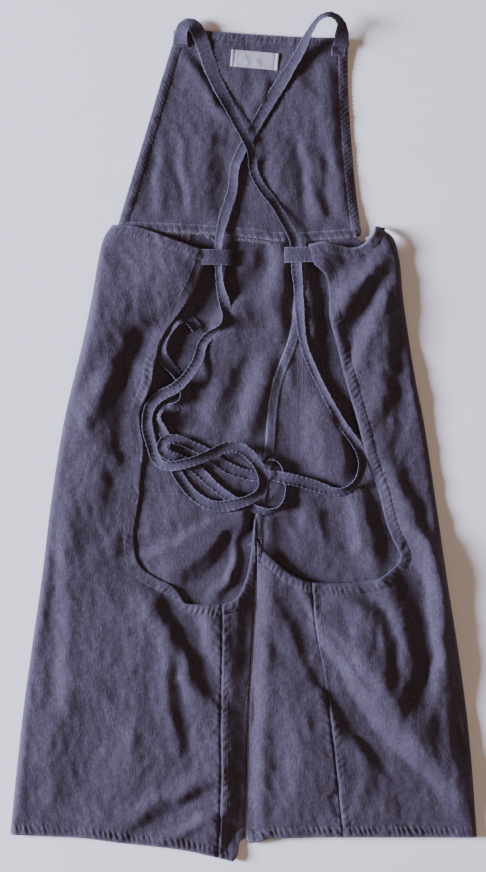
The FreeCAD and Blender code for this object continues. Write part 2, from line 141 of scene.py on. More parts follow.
LEFT_STRAP_ROUTE = [
    (-71, 446, 8.2), (-71, 459, 8.4), (-66, 468, 9), (-57.5, 469, 9.6), (-51, 461, 9.6),
    (-44, 442, 5.8), (-34, 412, 4.6), (-17, 379, 4.9), (-8, 362, 7.8), (1, 345, 9.2),
    (9, 327, 8.6), (10, 306, 5.4), (19, 288, 4.7), (34, 270, 5.2), (48, 246, 7.6),
    (57, 230, 9.4), (59, 214, 9.8), (59, 196, 9.4), (61, 180, 7.6), (62, 157, 6),
    (66, 116, 5.6), (76, 88, 5.3), (98, 44, 6), (109, 24, 7.2), (120, 9, 8.6),
    (129, -5, 9.4), (132.5, -21, 10), (127, -39, 9.6), (116, -50, 9), (102, -53, 8.2),
    (85, -47, 8.4), (69, -42, 10), (56, -39, 12.2), (42, -36, 12.2), (28, -34, 6.8),
    (12, -35, 6), (-2, -32, 5.4), (-18, -26, 5.2), (-33, -16, 5.2), (-44, -7, 5.4),
    (-55, -2, 7), (-67, 4, 11.4), (-80, 7, 12.2), (-90, 4, 12.2), (-92, -5, 12.2),
    (-84, -12, 12.2), (-74, -15, 12), (-64, -20, 7), (-54, -26, 5.3), (-45, -34, 5.2),
    (-35, -44, 5.2), (-22, -54, 5.2), (-8, -63, 5.3), (7, -69, 5.9), (22, -74, 6),
    (36, -73, 5.8), (46, -64, 5.4), (50, -50, 5.2), (49, -35, 5.2), (45, -22, 5.5),
    (37, -14, 6), (26, -13, 6.2), (15, -18, 6)]
RIGHT_STRAP_ROUTE = [
    (108, 444, 8.2), (110, 459, 8.8), (107, 472, 13), (95, 478, 20), (82, 472, 22.5),
    (72, 456, 19), (63, 438, 9), (52, 420, 5.4), (28, 383, 4.7), (9, 349, 4.6),
    (-2, 330, 4.6), (-11, 309, 4.7), (-12, 283, 4.8), (-20, 262, 6.2), (-26, 238, 8.6),
    (-28, 222, 9.2), (-28, 204, 9.2), (-27, 190, 8.4), (-25, 172, 6.6), (-21, 157, 5.3),
    (-19, 143, 5.2), (-25, 131, 5.2), (-38, 123, 5.2), (-47, 112, 5.4), (-50, 96, 8),
    (-58, 82, 11.8), (-67, 71, 12), (-78, 62, 10), (-92, 56, 7), (-103, 47, 5.6),
    (-108, 34, 5.3), (-108, 20, 5.3), (-105, 7, 5.4), (-101, -6, 5.6), (-96, -18, 7),
    (-86, -24, 11), (-71, -22, 16), (-53, -17, 17), (-35, -9, 15.6), (-17, -1, 13.6),
    (0, -4, 13.2), (13, -17, 13.6), (21, -32, 13.8), (21, -48, 13.2), (11, -59, 12.6),
    (-6, -65, 12.2), (-25, -69, 9.4), (-41, -66, 6.6), (-55, -57, 5.4), (-65, -46, 5.2),
    (-74, -33, 5.2), (-79, -20, 5.2), (-83, -7, 5.2), (-86, 7, 5.2), (-92, 20, 5.2),
    (-96, 31, 5.2), (-92, 40, 5.2), (-81, 40, 5.2), (-70, 46, 5.2), (-66, 57, 5.2),
    (-69, 69, 5.1), (-77, 81, 5), (-87, 92, 4.9), (-93, 104, 4.9), (-91, 119, 4.9),
    (-83, 132, 4.9), (-72, 142, 5), (-59, 140, 5.2), (-52, 129, 5.2)]

# A fold is (points of its ridge line, width, height); a negative height is a valley.
FRONT_FOLDS = [
    ([(-3, 190), (-10, 140), (-31, 58), (-44, 10)], 11, 1.0),
    ([(-30, 200), (-40, 150), (-62, 90)], 11, 1.0),
    ([(84, 66), (98, 28), (108, -4)], 12, 1.0),
    ([(140, -80), (136, -120)], 10, 1.0)]
BIB_FOLDS = [
    ([(-74, 410), (-50, 396), (-20, 384)], 12, 1.2),
    ([(40, 408), (76, 392), (92, 350)], 18, 1.6),
    ([(-50, 352), (-20, 330), (8, 300)], 10, 0.8)]
LEFT_BACK_FOLDS = [
    ([(-158, 186), (-166, 149), (-171, 113), (-184, 56)], 17, 2.0),
    ([(-186, -20), (-196, -80), (-204, -150)], 16, 1.2),
    ([(-150, -10), (-152, -70), (-160, -120)], 14, -1.2),
    ([(-214, -284), (-216, -350), (-217, -413)], 15, 1.6),
    ([(-165, -170), (-170, -260), (-175, -340)], 26, 1.2),
    ([(-120, -300), (-124, -380)], 16, 1.0),
    ([(-108, 50), (-115, -30), (-124, -98), (-116, -134), (-88, -154), (-56, -186)], 30, -4.2)]
RIGHT_BACK_FOLDS = [
    ([(156.8, 177), (155.7, 142)], 5, 1.2),
    ([(150, 234), (160, 224), (168, 205)], 8, 1.4),
    ([(188, 56), (174, 4), (164, -28)], 10, -1.4),
    ([(50, -270), (60, -340), (56, -410)], 22, 1.4),
    ([(104, -368), (107, -420)], 6, -1.2)]

# A slope is (points of its middle line, half width, fall): cloth that falls to the right of
# the page across the line, or rises where the fall is negative. Lines run down the page.
FRONT_SLOPES = [
    ([(24, 214), (-24, 168)], 9, 2.2),
    ([(38, 232), (30, 190), (12, 150)], 10, -4.6),
    ([(50, 240), (49, 170), (46, 100)], 8, 4.8),
    ([(12, 182), (-25, 145), (-46, 110), (-56, 70)], 11, -3.8),
    ([(22, 112), (6, 60), (-13, -6)], 9, -3.8),
    ([(44, 114), (26, 52), (11, -2)], 7, 2.8),
    ([(8, 118), (-24, 44)], 6, 1.5),
    ([(-36, 112), (-43, 12)], 9, -1.8),
    ([(64, 72), (72, 10), (78, -50)], 17, -5.4),
    ([(94, 52), (118, -8), (116, -58)], 13, 6.0),
    ([(58, 110), (54, 60)], 6, 1.8),
    ([(62, -48), (66, -100)], 8, -3.0),
    ([(88, -64), (92, -114)], 7, 1.8),
    ([(118, -58), (124, -128)], 9, -4.0),
    ([(130, -30), (146, -88), (162, -150)], 11, 7.0),
    ([(36, -52), (-10, -77), (-60, -100), (-150, -132)], 8, -5.6),
    ([(16, -66), (-38, -122), (-88, -178)], 17, 9.0),
    ([(-34, 224), (-50, 170), (-74, 120)], 10, 5.0),
    ([(72, 226), (80, 160), (86, 88)], 9, 9.0),
    ([(-44, 196), (-62, 150), (-80, 112), (-92, 60)], 13, 8.0),
    ([(-9, -90), (-24, -166)], 5, -3.0),
    ([(9, -56), (3, -100), (-6, -140), (-38, -184)], 7, 7.0)]
LEFT_BACK_SLOPES = [
    ([(6, 250), (-60, 184), (-108, 140), (-140, 95), (-148, 40), (-138, -20), (-112, -80)],
     24, 9.0),
    ([(-92, 158), (-126, 110), (-160, 40)], 8, 3.4),
    ([(-88, 124), (-103, 70), (-117, 10)], 5, -2.4),
    ([(-150, 94), (-172, 55), (-195, 14)], 10, -4.2),
    ([(-160, -2), (-126, -54)], 8, -3.2),
    ([(-203, -30), (-204, -150), (-203, -320)], 9, -3.4),
    ([(-188, -260), (-194, -420)], 14, 2.0),
    ([(-106, -140), (-98, -169), (-80, -195), (-58, -240), (-41, -273), (-18, -312)], 12, 8.4),
    ([(-85, -200), (-77, -284), (-62, -368)], 7, 4.0),
    ([(-46, -172), (-44, -270)], 9, -3.4),
    ([(-12, -367), (-60, -391), (-94, -408), (-142, -436)], 9, 6.4),
    ([(-14, -398), (-66, -424), (-112, -445)], 6, -4.6),
    ([(-16, -415), (-38, -468)], 11, 3.6),
    ([(-12, -176), (-12, -300), (-16, -400), (-18, -450)], 12, 2.6)]
RIGHT_BACK_SLOPES = [
    ([(13, -90), (14, -220), (12, -330), (10, -460)], 9, -4.6),
    ([(154, 218), (116, 180), (90, 136)], 12, -7.4),
    ([(172, 218), (135, 175), (113, 147), (100, 110)], 7.5, 3.8),
    ([(166, 198), (141, 147), (127, 107), (117, 58)], 9, -5.6),
    ([(171, 168), (167, 107), (161, 51), (144, 8)], 11, 5.2),
    ([(170, 216), (108, 202)], 4, 2.4),
    ([(140, 8), (152, -27), (169, -72), (191, -116), (222, -184)], 11, -7.0),
    ([(166, -16), (197, -83), (222, -140)], 7, 3.0),
    ([(148, -100), (158, -133), (175, -167), (189, -217), (194, -262), (178, -304)], 12, 7.4),
    ([(196, -90), (211, -189), (211, -245), (184, -330)], 10, -7.0),
    ([(224, -170), (233, -273), (236, -329), (248, -374), (248, -434)], 8, 4.2),
    ([(60, -176), (130, -279), (175, -335), (250, -424)], 20, -17.0),
    ([(22, -140), (63, -217), (85, -256), (107, -296), (141, -340), (175, -374), (220, -420)],
     9, 5.4),
    ([(50, -148), (90, -214)], 5, -2.2),
    ([(78, -196), (119, -245), (156, -290)], 4, 2.0),
    ([(120, -170), (130, -236), (158, -284)], 12, -5.4),
    ([(102, -158), (147, -186), (163, -228), (162, -278)], 8, 4.0)]
BIB_SLOPES = [
    ([(104, 466), (106, 380), (112, 310), (122, 230)], 11, 4.6),
    ([(-34, 372), (-34, 300), (-34, 232)], 14, 3.6),
    ([(-92, 345), (-98, 300), (-99, 240)], 6, -2.4),
    ([(-80, 366), (-70, 310), (-60, 246)], 5, -2.2),
    ([(62, 362), (70, 300), (75, 238)], 6, -3.0),
    ([(28, 356), (34, 274)], 8, -2.0),
    ([(86, 352), (91, 238)], 6, 2.2),
    ([(-70, 452), (-43, 408), (0, 350)], 6, 3.8),
    ([(38, 416), (8, 348)], 7, 3.4)]

# A lift is (its middle, how far it reaches, height): a soft mound, or a hollow.
FRONT_LIFTS = [
    ((-28, 210), 26, -2.0), ((60, 212), 26, -2.0), ((-50, -112), 44, 3.2),
    ((-70, 125), 22, -1.6), ((-82, 75), 20, -1.6), ((20, 20), 60, 1.0)]
BACK_LIFTS = [
    ((-60, 165), 26, 6.0), ((-86, 120), 24, 6.2), ((-102, 75), 24, 6.0),
    ((140, -290), 76, 6.0), ((205, -200), 60, 2.0), ((-70, -250), 60, 2.5),
    ((-60, -410), 40, 2.0), ((-160, 120), 40, 3.0), ((120, 150), 50, 2.0),
    ((-45, -178), 20, 1.2), ((-8, -172), 18, 1.6), ((95, 150), 22, 2.6),
    ((112, 76), 26, 1.8), ((139, -20), 30, 1.4), ((170, -122), 20, 3.0),
    ((128, -152), 24, 1.6), ((60, -146), 24, 1.2), ((140, 236), 12, 5.0),
    ((-90, 232), 26, 1.6), ((84, 212), 15, 3.4), ((-50, 210), 15, 1.4),
    ((-112, 50), 22, 1.6), ((100, 224), 22, 1.8), ((-128, 240), 16, 1.4)]


# ------------------------------------------------------------------- plan geometry
def evenly(points, step):
    """The same line with points about `step` apart."""
    points = np.asarray(points, float)
    run = np.concatenate([[0.0], np.cumsum(np.linalg.norm(np.diff(points, axis=0), axis=1))])
    at = np.linspace(0.0, run[-1], max(1, int(round(run[-1] / step))) + 1)
    return np.column_stack([np.interp(at, run, axis) for axis in points.T])


def smooth(line, step=4.0):
    """Points about `step` apart on a rounded curve through the given points."""
    points = np.array(line, float)
    if len(points) < 3:
        return evenly(points, step)
    ends = np.vstack([2 * points[0] - points[1], points, 2 * points[-1] - points[-2]])
    dense = []
    for a, b, c, d in zip(ends, ends[1:], ends[2:], ends[3:]):
        t0 = 0.0
        t1 = t0 + math.sqrt(np.linalg.norm(b - a))
        t2 = t1 + math.sqrt(np.linalg.norm(c - b))
        t3 = t2 + math.sqrt(np.linalg.norm(d - c))
        t = np.linspace(t1, t2, 20, endpoint=False)[:, None]
        ab = (t1 - t) / (t1 - t0) * a + (t - t0) / (t1 - t0) * b
        bc = (t2 - t) / (t2 - t1) * b + (t - t1) / (t2 - t1) * c
        cd = (t3 - t) / (t3 - t2) * c + (t - t2) / (t3 - t2) * d
        abc = (t2 - t) / (t2 - t0) * ab + (t - t0) / (t2 - t0) * bc
        bcd = (t3 - t) / (t3 - t1) * bc + (t - t1) / (t3 - t1) * cd
        dense.append((t2 - t) / (t2 - t1) * abc + (t - t1) / (t2 - t1) * bcd)
    return evenly(np.vstack(dense + [points[-1:]]), step)


def chained(*lines):
    """Several lines end to end, without their shared points."""
    out = [np.asarray(lines[0], float)]
    for line in lines[1:]:
        line = np.asarray(line, float)
        same = np.linalg.norm(line[0] - out[-1][-1]) < 0.05
        out.append(line[1:] if same else line)
    return np.vstack(out)


def nearest(p, line):
    """Distance of each plan point from a line, and how far along the line its place is."""
    starts, runs = line[:-1], np.diff(line, axis=0)
    lengths = np.linalg.norm(runs, axis=1)
    before = np.concatenate([[0.0], np.cumsum(lengths)])
    best = np.full(len(p), 1e9)
    along = np.zeros(len(p))
    for start, run, length, base in zip(starts, runs, lengths, before):
        away = p - start
        t = np.clip((away @ run) / (length * length), 0, 1)
        gap = np.hypot(away[:, 0] - t * run[0], away[:, 1] - t * run[1])
        closer = gap < best
        best[closer] = gap[closer]
        along[closer] = base + t[closer] * length
    return best, along


def inside(p, outline):
    """Which plan points lie inside a closed outline."""
    result = np.zeros(len(p), bool)
    x, y = p[:, 0], p[:, 1]
    for (x0, y0), (x1, y1) in zip(outline, np.roll(outline, -1, axis=0)):
        if y0 == y1:
            continue
        crosses = (y0 > y) != (y1 > y)
        result ^= crosses & (x < (x1 - x0) * (y - y0) / (y1 - y0) + x0)
    return result


def unit(vectors):
    """The same vectors, one unit long."""
    return vectors / np.linalg.norm(vectors, axis=1)[:, None]


def step_up(value, low, high):
    """0 below low, 1 above high, and smooth between."""
    t = np.clip((value - low) / (high - low), 0, 1)
    return t * t * (3 - 2 * t)


def field(p, size, seed, stretch=1.0):
    """Smooth random field over the plan, about -1 to 1, with features of about `size`."""
    angles = np.random.RandomState(seed).uniform(0, 2 * math.pi, (64, 64))
    x = p[:, 0] / size + 512.37
    y = p[:, 1] / (size * stretch) + 512.71
    i, j = np.floor(x).astype(int), np.floor(y).astype(int)
    fx, fy = x - i, y - j

    def corner(a, b):
        angle = angles[(i + a) % 64, (j + b) % 64]
        return np.cos(angle) * (fx - a) + np.sin(angle) * (fy - b)

    u = fx ** 3 * (fx * (fx * 6 - 15) + 10)
    v = fy ** 3 * (fy * (fy * 6 - 15) + 10)
    low = corner(0, 0) * (1 - u) + corner(1, 0) * u
    high = corner(0, 1) * (1 - u) + corner(1, 1) * u
    return 1.6 * (low * (1 - v) + high * v)


def stations(along):
    """Places along a line as points, for a field to be read at."""
    return np.column_stack([along, along * 0])


def drift(along, size, seed):
    """A smooth random value, about -1 to 1, that changes along a line."""
    return field(stations(along), size, seed)


def at_least(z, low, sharp):
    """z where it is above low, easing into low below it."""
    return low + np.logaddexp(0, (z - low) * sharp) / sharp


def ridges(p, size, seed, stretch=1.0):
    """Random sharp-crested creases, about -1 to 1."""
    return 1 - 2.4 * np.abs(field(p, size, seed, stretch))


def turned(p, degrees):
    """Plan points turned about the origin, so that a field's grain runs another way."""
    c, s = math.cos(math.radians(degrees)), math.sin(math.radians(degrees))
    return np.column_stack([p[:, 0] * c - p[:, 1] * s, p[:, 0] * s + p[:, 1] * c])


def crumple(p, seed):
    """The rumples of washed linen, from hand-sized waves down to fine crinkles."""
    warp = np.column_stack([field(p, 70, seed + 1), field(p, 70, seed + 2)]) * 16
    q = p + warp
    mask = 0.55 + 0.45 * field(p, 90, seed + 9)
    return (2.2 * field(q, 72, seed + 3, 1.7)
            + 0.95 * field(turned(q, 12), 34, seed + 4, 2.0)
            + 0.75 * mask * ridges(turned(q, -20), 24, seed + 5, 2.4)
            + 0.42 * ridges(turned(q, 35), 15, seed + 6, 1.8) * (1.2 - mask)
            + 0.44 * field(turned(p, -14), 7.5, seed + 7, 2.2)
            + 0.10 * ridges(turned(p, 30), 6.5, seed + 8, 1.6))


def lifts(p, table):
    """Height of the soft mounds and hollows in a table."""
    return sum(lift * np.exp(-np.sum((p - place) ** 2, axis=1) / reach ** 2)
               for place, reach, lift in table)


def folds(p, table, seed):
    """Height of the listed folds, each a soft ridge or valley that fades at both ends."""
    q = p + np.column_stack([field(p, 28, seed), field(p, 28, seed + 1)]) * 4
    total = np.zeros(len(p))
    for line, width, height in table:
        path = smooth(line, 9)
        close = beside_box(q, path, 3.2 * width)
        gap, along = nearest(q[close], path)
        total[close] += height * faded(path, along) * np.exp(-np.abs(gap / width) ** 1.7)
    return total


def slopes(p, table, seed):
    """Height of the listed slopes, each with a soft crest above it and a trough below."""
    q = p + np.column_stack([field(p, 26, seed), field(p, 26, seed + 1)]) * 3.5
    total = np.zeros(len(p))
    for line, width, fall in table:
        path = smooth(line, 7)
        close = beside_box(q, path, 3.6 * width)
        _, along = nearest(q[close], path)
        run = run_of(path)
        ahead = unit(np.gradient(path, axis=0))
        ahead = np.column_stack([np.interp(along, run, axis) for axis in ahead.T])
        place = np.column_stack([np.interp(along, run, axis) for axis in path.T])
        gap = q[close] - place
        gap = (ahead[:, 0] * gap[:, 1] - ahead[:, 1] * gap[:, 0]) / width
        total[close] -= fall * faded(path, along) * gap * np.exp(-0.5 * gap * gap)
    return total


def faded(path, along):
    """1 over the middle of a line, falling to 0 at its ends."""
    run = run_of(path)[-1]
    return step_up(along, 0, 0.27 * run) * step_up(run - along, 0, 0.27 * run)


def beside_box(p, path, reach):
    """Which plan points lie in the box round a line, grown by a reach."""
    return (np.all(p > path.min(axis=0) - reach, axis=1)
            & np.all(p < path.max(axis=0) + reach, axis=1))


def run_of(line):
    """How far along a line each of its points is."""
    return np.concatenate([[0.0], np.cumsum(np.linalg.norm(np.diff(line, axis=0), axis=1))])


# ------------------------------------------------------ the edges that shape the back
SIDE_LINES = [smooth(LEFT_SIDE), smooth(RIGHT_SIDE)]
SPLIT_LINE = smooth(SPLIT[1:])
LEFT_EDGE = chained(smooth(LEFT_OPENING), smooth(LEFT_U), smooth(LEFT_CROTCH))
RIGHT_EDGE = chained(smooth(RIGHT_OPENING), smooth(RIGHT_CROTCH))
TOP_LINES = [smooth(LEFT_WRAP_TOP), smooth(RIGHT_WRAP_TOP)]
HEM_LINES = [chained(smooth(LEFT_HEM), smooth(LEFT_TIP)),
             chained(smooth(RIGHT_HEM), smooth(RIGHT_HEM_STRAIGHT))]
SEAM_LINES = [smooth(LEFT_SEAM), smooth(RIGHT_SEAM)]
CENTRE_LINE = smooth(CENTRE_SEAM)


def pucker(gap, along, seed, pitch=PUCKER, slant=0.10, middle=8.0, spread=4.5):
    """Small gathers across a stitch line: a wave along it that dies away on both sides."""
    shift = field(np.column_stack([along, gap * 0.2]), 23, seed) * 0.55
    size = 0.6 + 0.5 * drift(along, 31, seed + 1)
    wave = np.sin(2 * math.pi * (along / pitch + slant * gap / pitch * 4 + shift))
    wave = 0.75 * wave + 0.25 * wave ** 3
    return wave * size * np.exp(-((gap - middle) / spread) ** 2)


def hem_band(gap, along, seed, width=HEM, rise=1.0, gathers=0.42, edge_drop=1.3):
    """Height that a turned hem adds: a plump band, its stitch groove and its gathers."""
    band = rise * np.sin(math.pi * np.clip(gap / width, 0, 1)) ** 0.6 * (gap < width)
    groove = -0.55 * np.exp(-((gap - width) / 1.5) ** 2)
    edge = -edge_drop * np.clip(1 - gap / 2.2, 0, 1) ** 2
    return band + groove + edge + gathers * pucker(gap, along, seed)


def rolled(gap, radius):
    """How far a sheet has risen, 0 to 1, at a distance from the edge it turns round."""
    t = np.clip(gap / radius, 0, 1)
    return np.sqrt(1 - (1 - t) ** 2)


def front_height(p):
    """Upper face of the front layer, with the pockets' lower stitch rows showing through."""
    z = FRONT_Z + 0.9 * crumple(p, 11) + 1.5 * folds(p, FRONT_FOLDS, 90)
    z += slopes(p, FRONT_SLOPES, 190) + lifts(p, FRONT_LIFTS)
    for seed, line in ((21, HEM_LINES[0]), (22, HEM_LINES[1])):
        gap, along = nearest(p, line)
        z += hem_band(gap, along, seed, rise=0.3, gathers=0.2, edge_drop=0.4)
    for x in POCKET_X:
        foot = np.array([(x - POCKET_HALF, POCKET_Y[0]), (x + POCKET_HALF, POCKET_Y[0])])
        gap, along = nearest(p, foot)
        z += 0.5 * pucker(gap, along, 23, middle=4, spread=6)
        z -= 0.8 * np.exp(-((gap - 4) / 2.5) ** 2)
    margin = 4.0
    over_pocket = ((np.abs(np.abs(p[:, 0]) - POCKET_X[1]) < POCKET_HALF + margin)
                   & (p[:, 1] > POCKET_Y[0] - margin) & (p[:, 1] < POCKET_Y[1] + margin))
    z = at_least(z, np.where(over_pocket, 2.2, 1.6), 2.5)
    return -at_least(-z, -FRONT_TOP, 2)


def back_height(p):
    """Upper face of the back layer, turned down at the sides and along the leg split."""
    big = folds(p, LEFT_BACK_FOLDS, 91) + folds(p, RIGHT_BACK_FOLDS, 92)
    z = BACK_Z + 1.1 * crumple(p, 40) + BACK_FOLD_GAIN * big + lifts(p, BACK_LIFTS)
    z += slopes(p, LEFT_BACK_SLOPES, 191) + slopes(p, RIGHT_BACK_SLOPES, 192)
    for seed, line, hem_from, gathers in ((31, LEFT_EDGE, 105, 0.85), (32, RIGHT_EDGE, 150, 0.6)):
        gap, along = nearest(p, line)
        hemmed = 0.15 + 0.85 * step_up(hem_from - p[:, 1], -8, 22)
        z += hemmed * hem_band(gap, along, seed, rise=1.2, gathers=gathers, edge_drop=0.4)
        z -= 0.9 * np.clip(1 - gap / 2.2, 0, 1) ** 2
        z += 0.7 * np.exp(-(gap / 16) ** 2) * field(np.column_stack([along, gap]), 34, seed + 50)
    for seed, line in ((33, TOP_LINES[0]), (34, TOP_LINES[1])):
        gap, along = nearest(p, line)
        z += hem_band(gap, along, seed, rise=0.8, gathers=0.3)
    for seed, line in ((35, HEM_LINES[0]), (36, HEM_LINES[1])):
        gap, along = nearest(p, line)
        z += hem_band(gap, along, seed, rise=0.9, gathers=0.95)
        z -= 2.4 * np.exp(-(gap / 30) ** 2)
    for seed, line in ((37, SEAM_LINES[0]), (38, SEAM_LINES[1])):
        gap, along = nearest(p, line)
        z += 0.6 * pucker(gap, along, seed, pitch=9.5, slant=0.2, middle=0, spread=8)
        z -= 1.3 * np.exp(-(gap / 1.3) ** 2)
        right = p[:, 0] > np.interp(-p[:, 1], -line[:, 1], line[:, 0])
        z += np.where(right, 0.6, 0.15) * np.exp(-((gap - 4) / 3) ** 2)
    z = at_least(z, front_height(p) + BACK_OVER_FRONT, 1.4)
    for line in SIDE_LINES:
        gap, along = nearest(p, line)
        wave = 0.5 * drift(along, 40, 39)
        z = SIDE_Z + (z - SIDE_Z + wave) * rolled(gap + 0.15, 8.5)
    gap, along = nearest(p, SPLIT_LINE)
    turn = 0.4 * rolled(gap + 0.1, 5) + 0.6 * step_up(gap, -3, 21)
    fall = 1 - (1 - turn) * step_up(-p[:, 1], 92, 140)
    return SPLIT_Z + (z - SPLIT_Z) * fall


def bib_height(p):
    """Upper (inner) face of the bib."""
    z = BIB_Z + 0.9 * crumple(p, 60) + 1.4 * folds(p, BIB_FOLDS, 93)
    z += slopes(p, BIB_SLOPES, 193)
    for seed, line in ((61, BIB_EDGES[0]), (62, BIB_EDGES[1]), (63, BIB_EDGES[2])):
        gap, along = nearest(p, line)
        z += 0.3 * pucker(gap, along, seed, middle=9, spread=5)
    from_waist = p[:, 1] - np.interp(p[:, 0], *np.array(WAIST).T)
    z += (front_height(p) - z) * (1 - step_up(from_waist, 6, 30))
    return at_least(z, 1.3, 2.5)


BIB_EDGES = [smooth(BIB_LEFT), smooth(BIB_RIGHT), smooth(BIB_TOP)]


# --------------------------------------------------------------------- making meshes
def painted(p, lines, reach):
    """Which plan points lie within about `reach` of some lines, by painting a raster."""
    cell = 1.5
    low = p.min(axis=0) - reach - cell
    size = np.ceil((p.max(axis=0) + reach + cell - low) / cell).astype(int) + 1
    raster = np.zeros(tuple(size), bool)
    span = int(math.ceil(reach / cell))
    gx, gy = np.mgrid[-span:span + 1, -span:span + 1]
    disc = np.column_stack([gx[gx ** 2 + gy ** 2 <= (reach / cell) ** 2],
                            gy[gx ** 2 + gy ** 2 <= (reach / cell) ** 2]])
    for line in lines:
        for point in evenly(line, 2.5):
            spots = ((point - low) / cell).astype(int) + disc
            good = np.all((spots >= 0) & (spots < size), axis=1)
            raster[spots[good, 0], spots[good, 1]] = True
    at = ((p - low) / cell).astype(int)
    return raster[at[:, 0], at[:, 1]]


def lattice(low, high, step):
    """Evenly spaced plan points, in triangles, over a rectangle."""
    gx, gy = np.meshgrid(np.arange(low[0], high[0], step),
                         np.arange(low[1], high[1], step * 0.866))
    gx[1::2] += step / 2
    return np.column_stack([gx.ravel(), gy.ravel()])


def fill(outline, detail, coarse, fine, reach):
    """Triangles inside a closed outline, fine near the detail lines: (points, faces)."""
    low, high = outline.min(axis=0), outline.max(axis=0)
    loose = lattice(low, high, coarse)
    if detail:
        loose = loose[~painted(loose, detail, reach)]
        dense = lattice(low, high, fine)
        dense = dense[painted(dense, detail, reach - coarse * 0.6)]
        loose = np.vstack([loose, dense])
    loose = loose[inside(loose, outline)]
    ring = np.vstack([outline, outline[:1]])
    close = painted(loose, [ring], 3.2)
    gap = np.full(len(loose), 9.0)
    gap[close] = nearest(loose[close], ring)[0]
    loose = loose[gap > fine * 0.62]
    loose += np.random.RandomState(7).uniform(-0.12, 0.12, loose.shape) * fine
    points = [Vector(q) for q in np.vstack([outline, loose])]
    ring = [list(range(len(outline)))]
    verts, _, faces, _, _, _ = geometry.delaunay_2d_cdt(points, [], ring, 1, 1e-4, False)
    verts = np.array([(v.x, v.y) for v in verts])
    faces = np.array([list(f) for f in faces])
    return verts, faces[inside(verts[faces].mean(axis=1), outline)].tolist()


def link(obj):
    bpy.context.scene.collection.objects.link(obj)
    return obj


def make_piece(name, verts, faces, material, grain=None, wear_and_highlight=None, ply=None):
    """A mesh piece from points in mm. With `ply` it gets that thickness on its under side."""
    mesh = bpy.data.meshes.new(name)
    mesh.from_pydata((np.asarray(verts) * MM).tolist(), [], [tuple(f) for f in faces])
    mesh.polygons.foreach_set("use_smooth", [True] * len(mesh.polygons))
    grain = np.asarray(verts) if grain is None else np.asarray(grain)
    if grain.shape[1] == 2:
        grain = np.column_stack([grain, np.zeros(len(grain))])
    layer = mesh.attributes.new("grain", "FLOAT_VECTOR", "POINT")
    layer.data.foreach_set("vector", grain.astype(np.float32).ravel())
    # painted highlight: this attribute pales folded edges, partly as worn paleness and partly as
    # a painted highlight on the rolled edges
    layer = mesh.attributes.new("wear_and_highlight", "FLOAT", "POINT")
    worn_and_highlit = np.zeros(len(verts)) if wear_and_highlight is None else np.clip(wear_and_highlight, 0, 1)
    layer.data.foreach_set("value", worn_and_highlit.astype(np.float32))
    mesh.materials.append(material)
    mesh.update()
    obj = link(bpy.data.objects.new(name, mesh))
    if ply:
        shell = obj.modifiers.new("ply", "SOLIDIFY")
        shell.thickness = ply * MM
        shell.offset = -1       # the ply grows down from the upper face
        shell.use_even_offset = False
    return obj


def edge_wear_and_highlight(p, lines, reach=2.2):
    """1 on the folded edges of the cloth, fading inwards: where they are paled, partly as wear
    and partly as a painted highlight.
    """
    worn_and_highlit = np.zeros(len(p))
    for line in lines:
        close = painted(p, [line], reach * 3)
        gap = nearest(p[close], line)[0]
        worn_and_highlit[close] = np.maximum(worn_and_highlit[close], np.exp(-(gap / reach) ** 2))
    return worn_and_highlit


def cloth(name, stretches, height, detail, worn_and_highlit, fine=1.35, reach=15.0, coarse=2.7, ply=PLY):
    """A cut sheet of linen: its closed outline in stretches, raised by a height function."""
    outline = chained(*stretches)
    if np.linalg.norm(outline[0] - outline[-1]) < 0.3:
        outline = outline[:-1]
    plan, faces = fill(outline, list(detail), coarse, fine, reach)
    verts = np.column_stack([plan, height(plan)])
    return make_piece(name, verts, faces, CLOTH_LOOK, wear_and_highlight=edge_wear_and_highlight(plan, worn_and_highlit), ply=ply)


def beside(line, offset):
    """A line moved sideways: positive to the left as it is travelled."""
    run = np.gradient(line, axis=0)
    for _ in range(3):
        run[1:-1] = (run[:-2] + 2 * run[1:-1] + run[2:]) / 4
    run = unit(run)
    return line + offset * np.column_stack([-run[:, 1], run[:, 0]])


def strip(name, line, offsets, height, material, ply, worn_and_highlit=None, step=1.6):
    """A band of cloth along a line: `offsets` are its rows, sideways from the line."""
    line = evenly(line, step)
    rows = [beside(line, offset) for offset in offsets]
    plan = np.vstack(rows)
    z = height(plan, np.repeat(offsets, len(line)), np.tile(run_of(line), len(rows)))
    faces = grid_faces(len(rows), len(line), offsets[1] > offsets[0])
    wear_and_highlight = np.zeros(len(plan)) if worn_and_highlit is None else np.repeat(worn_and_highlit, len(line))
    return make_piece(name, np.column_stack([plan, z]), faces, material, wear_and_highlight=wear_and_highlight, ply=ply)


def grid_faces(rows, columns, forward=True, closed=False):
    """Quads of a grid of points stored row by row; `closed` joins the last row to the first."""
    faces = []
    for r in range(rows if closed else rows - 1):
        a, b = r * columns, ((r + 1) % rows) * columns
        for c in range(columns - 1):
            quad = [a + c, a + c + 1, b + c + 1, b + c]
            faces.append(quad if forward else quad[::-1])
    return faces


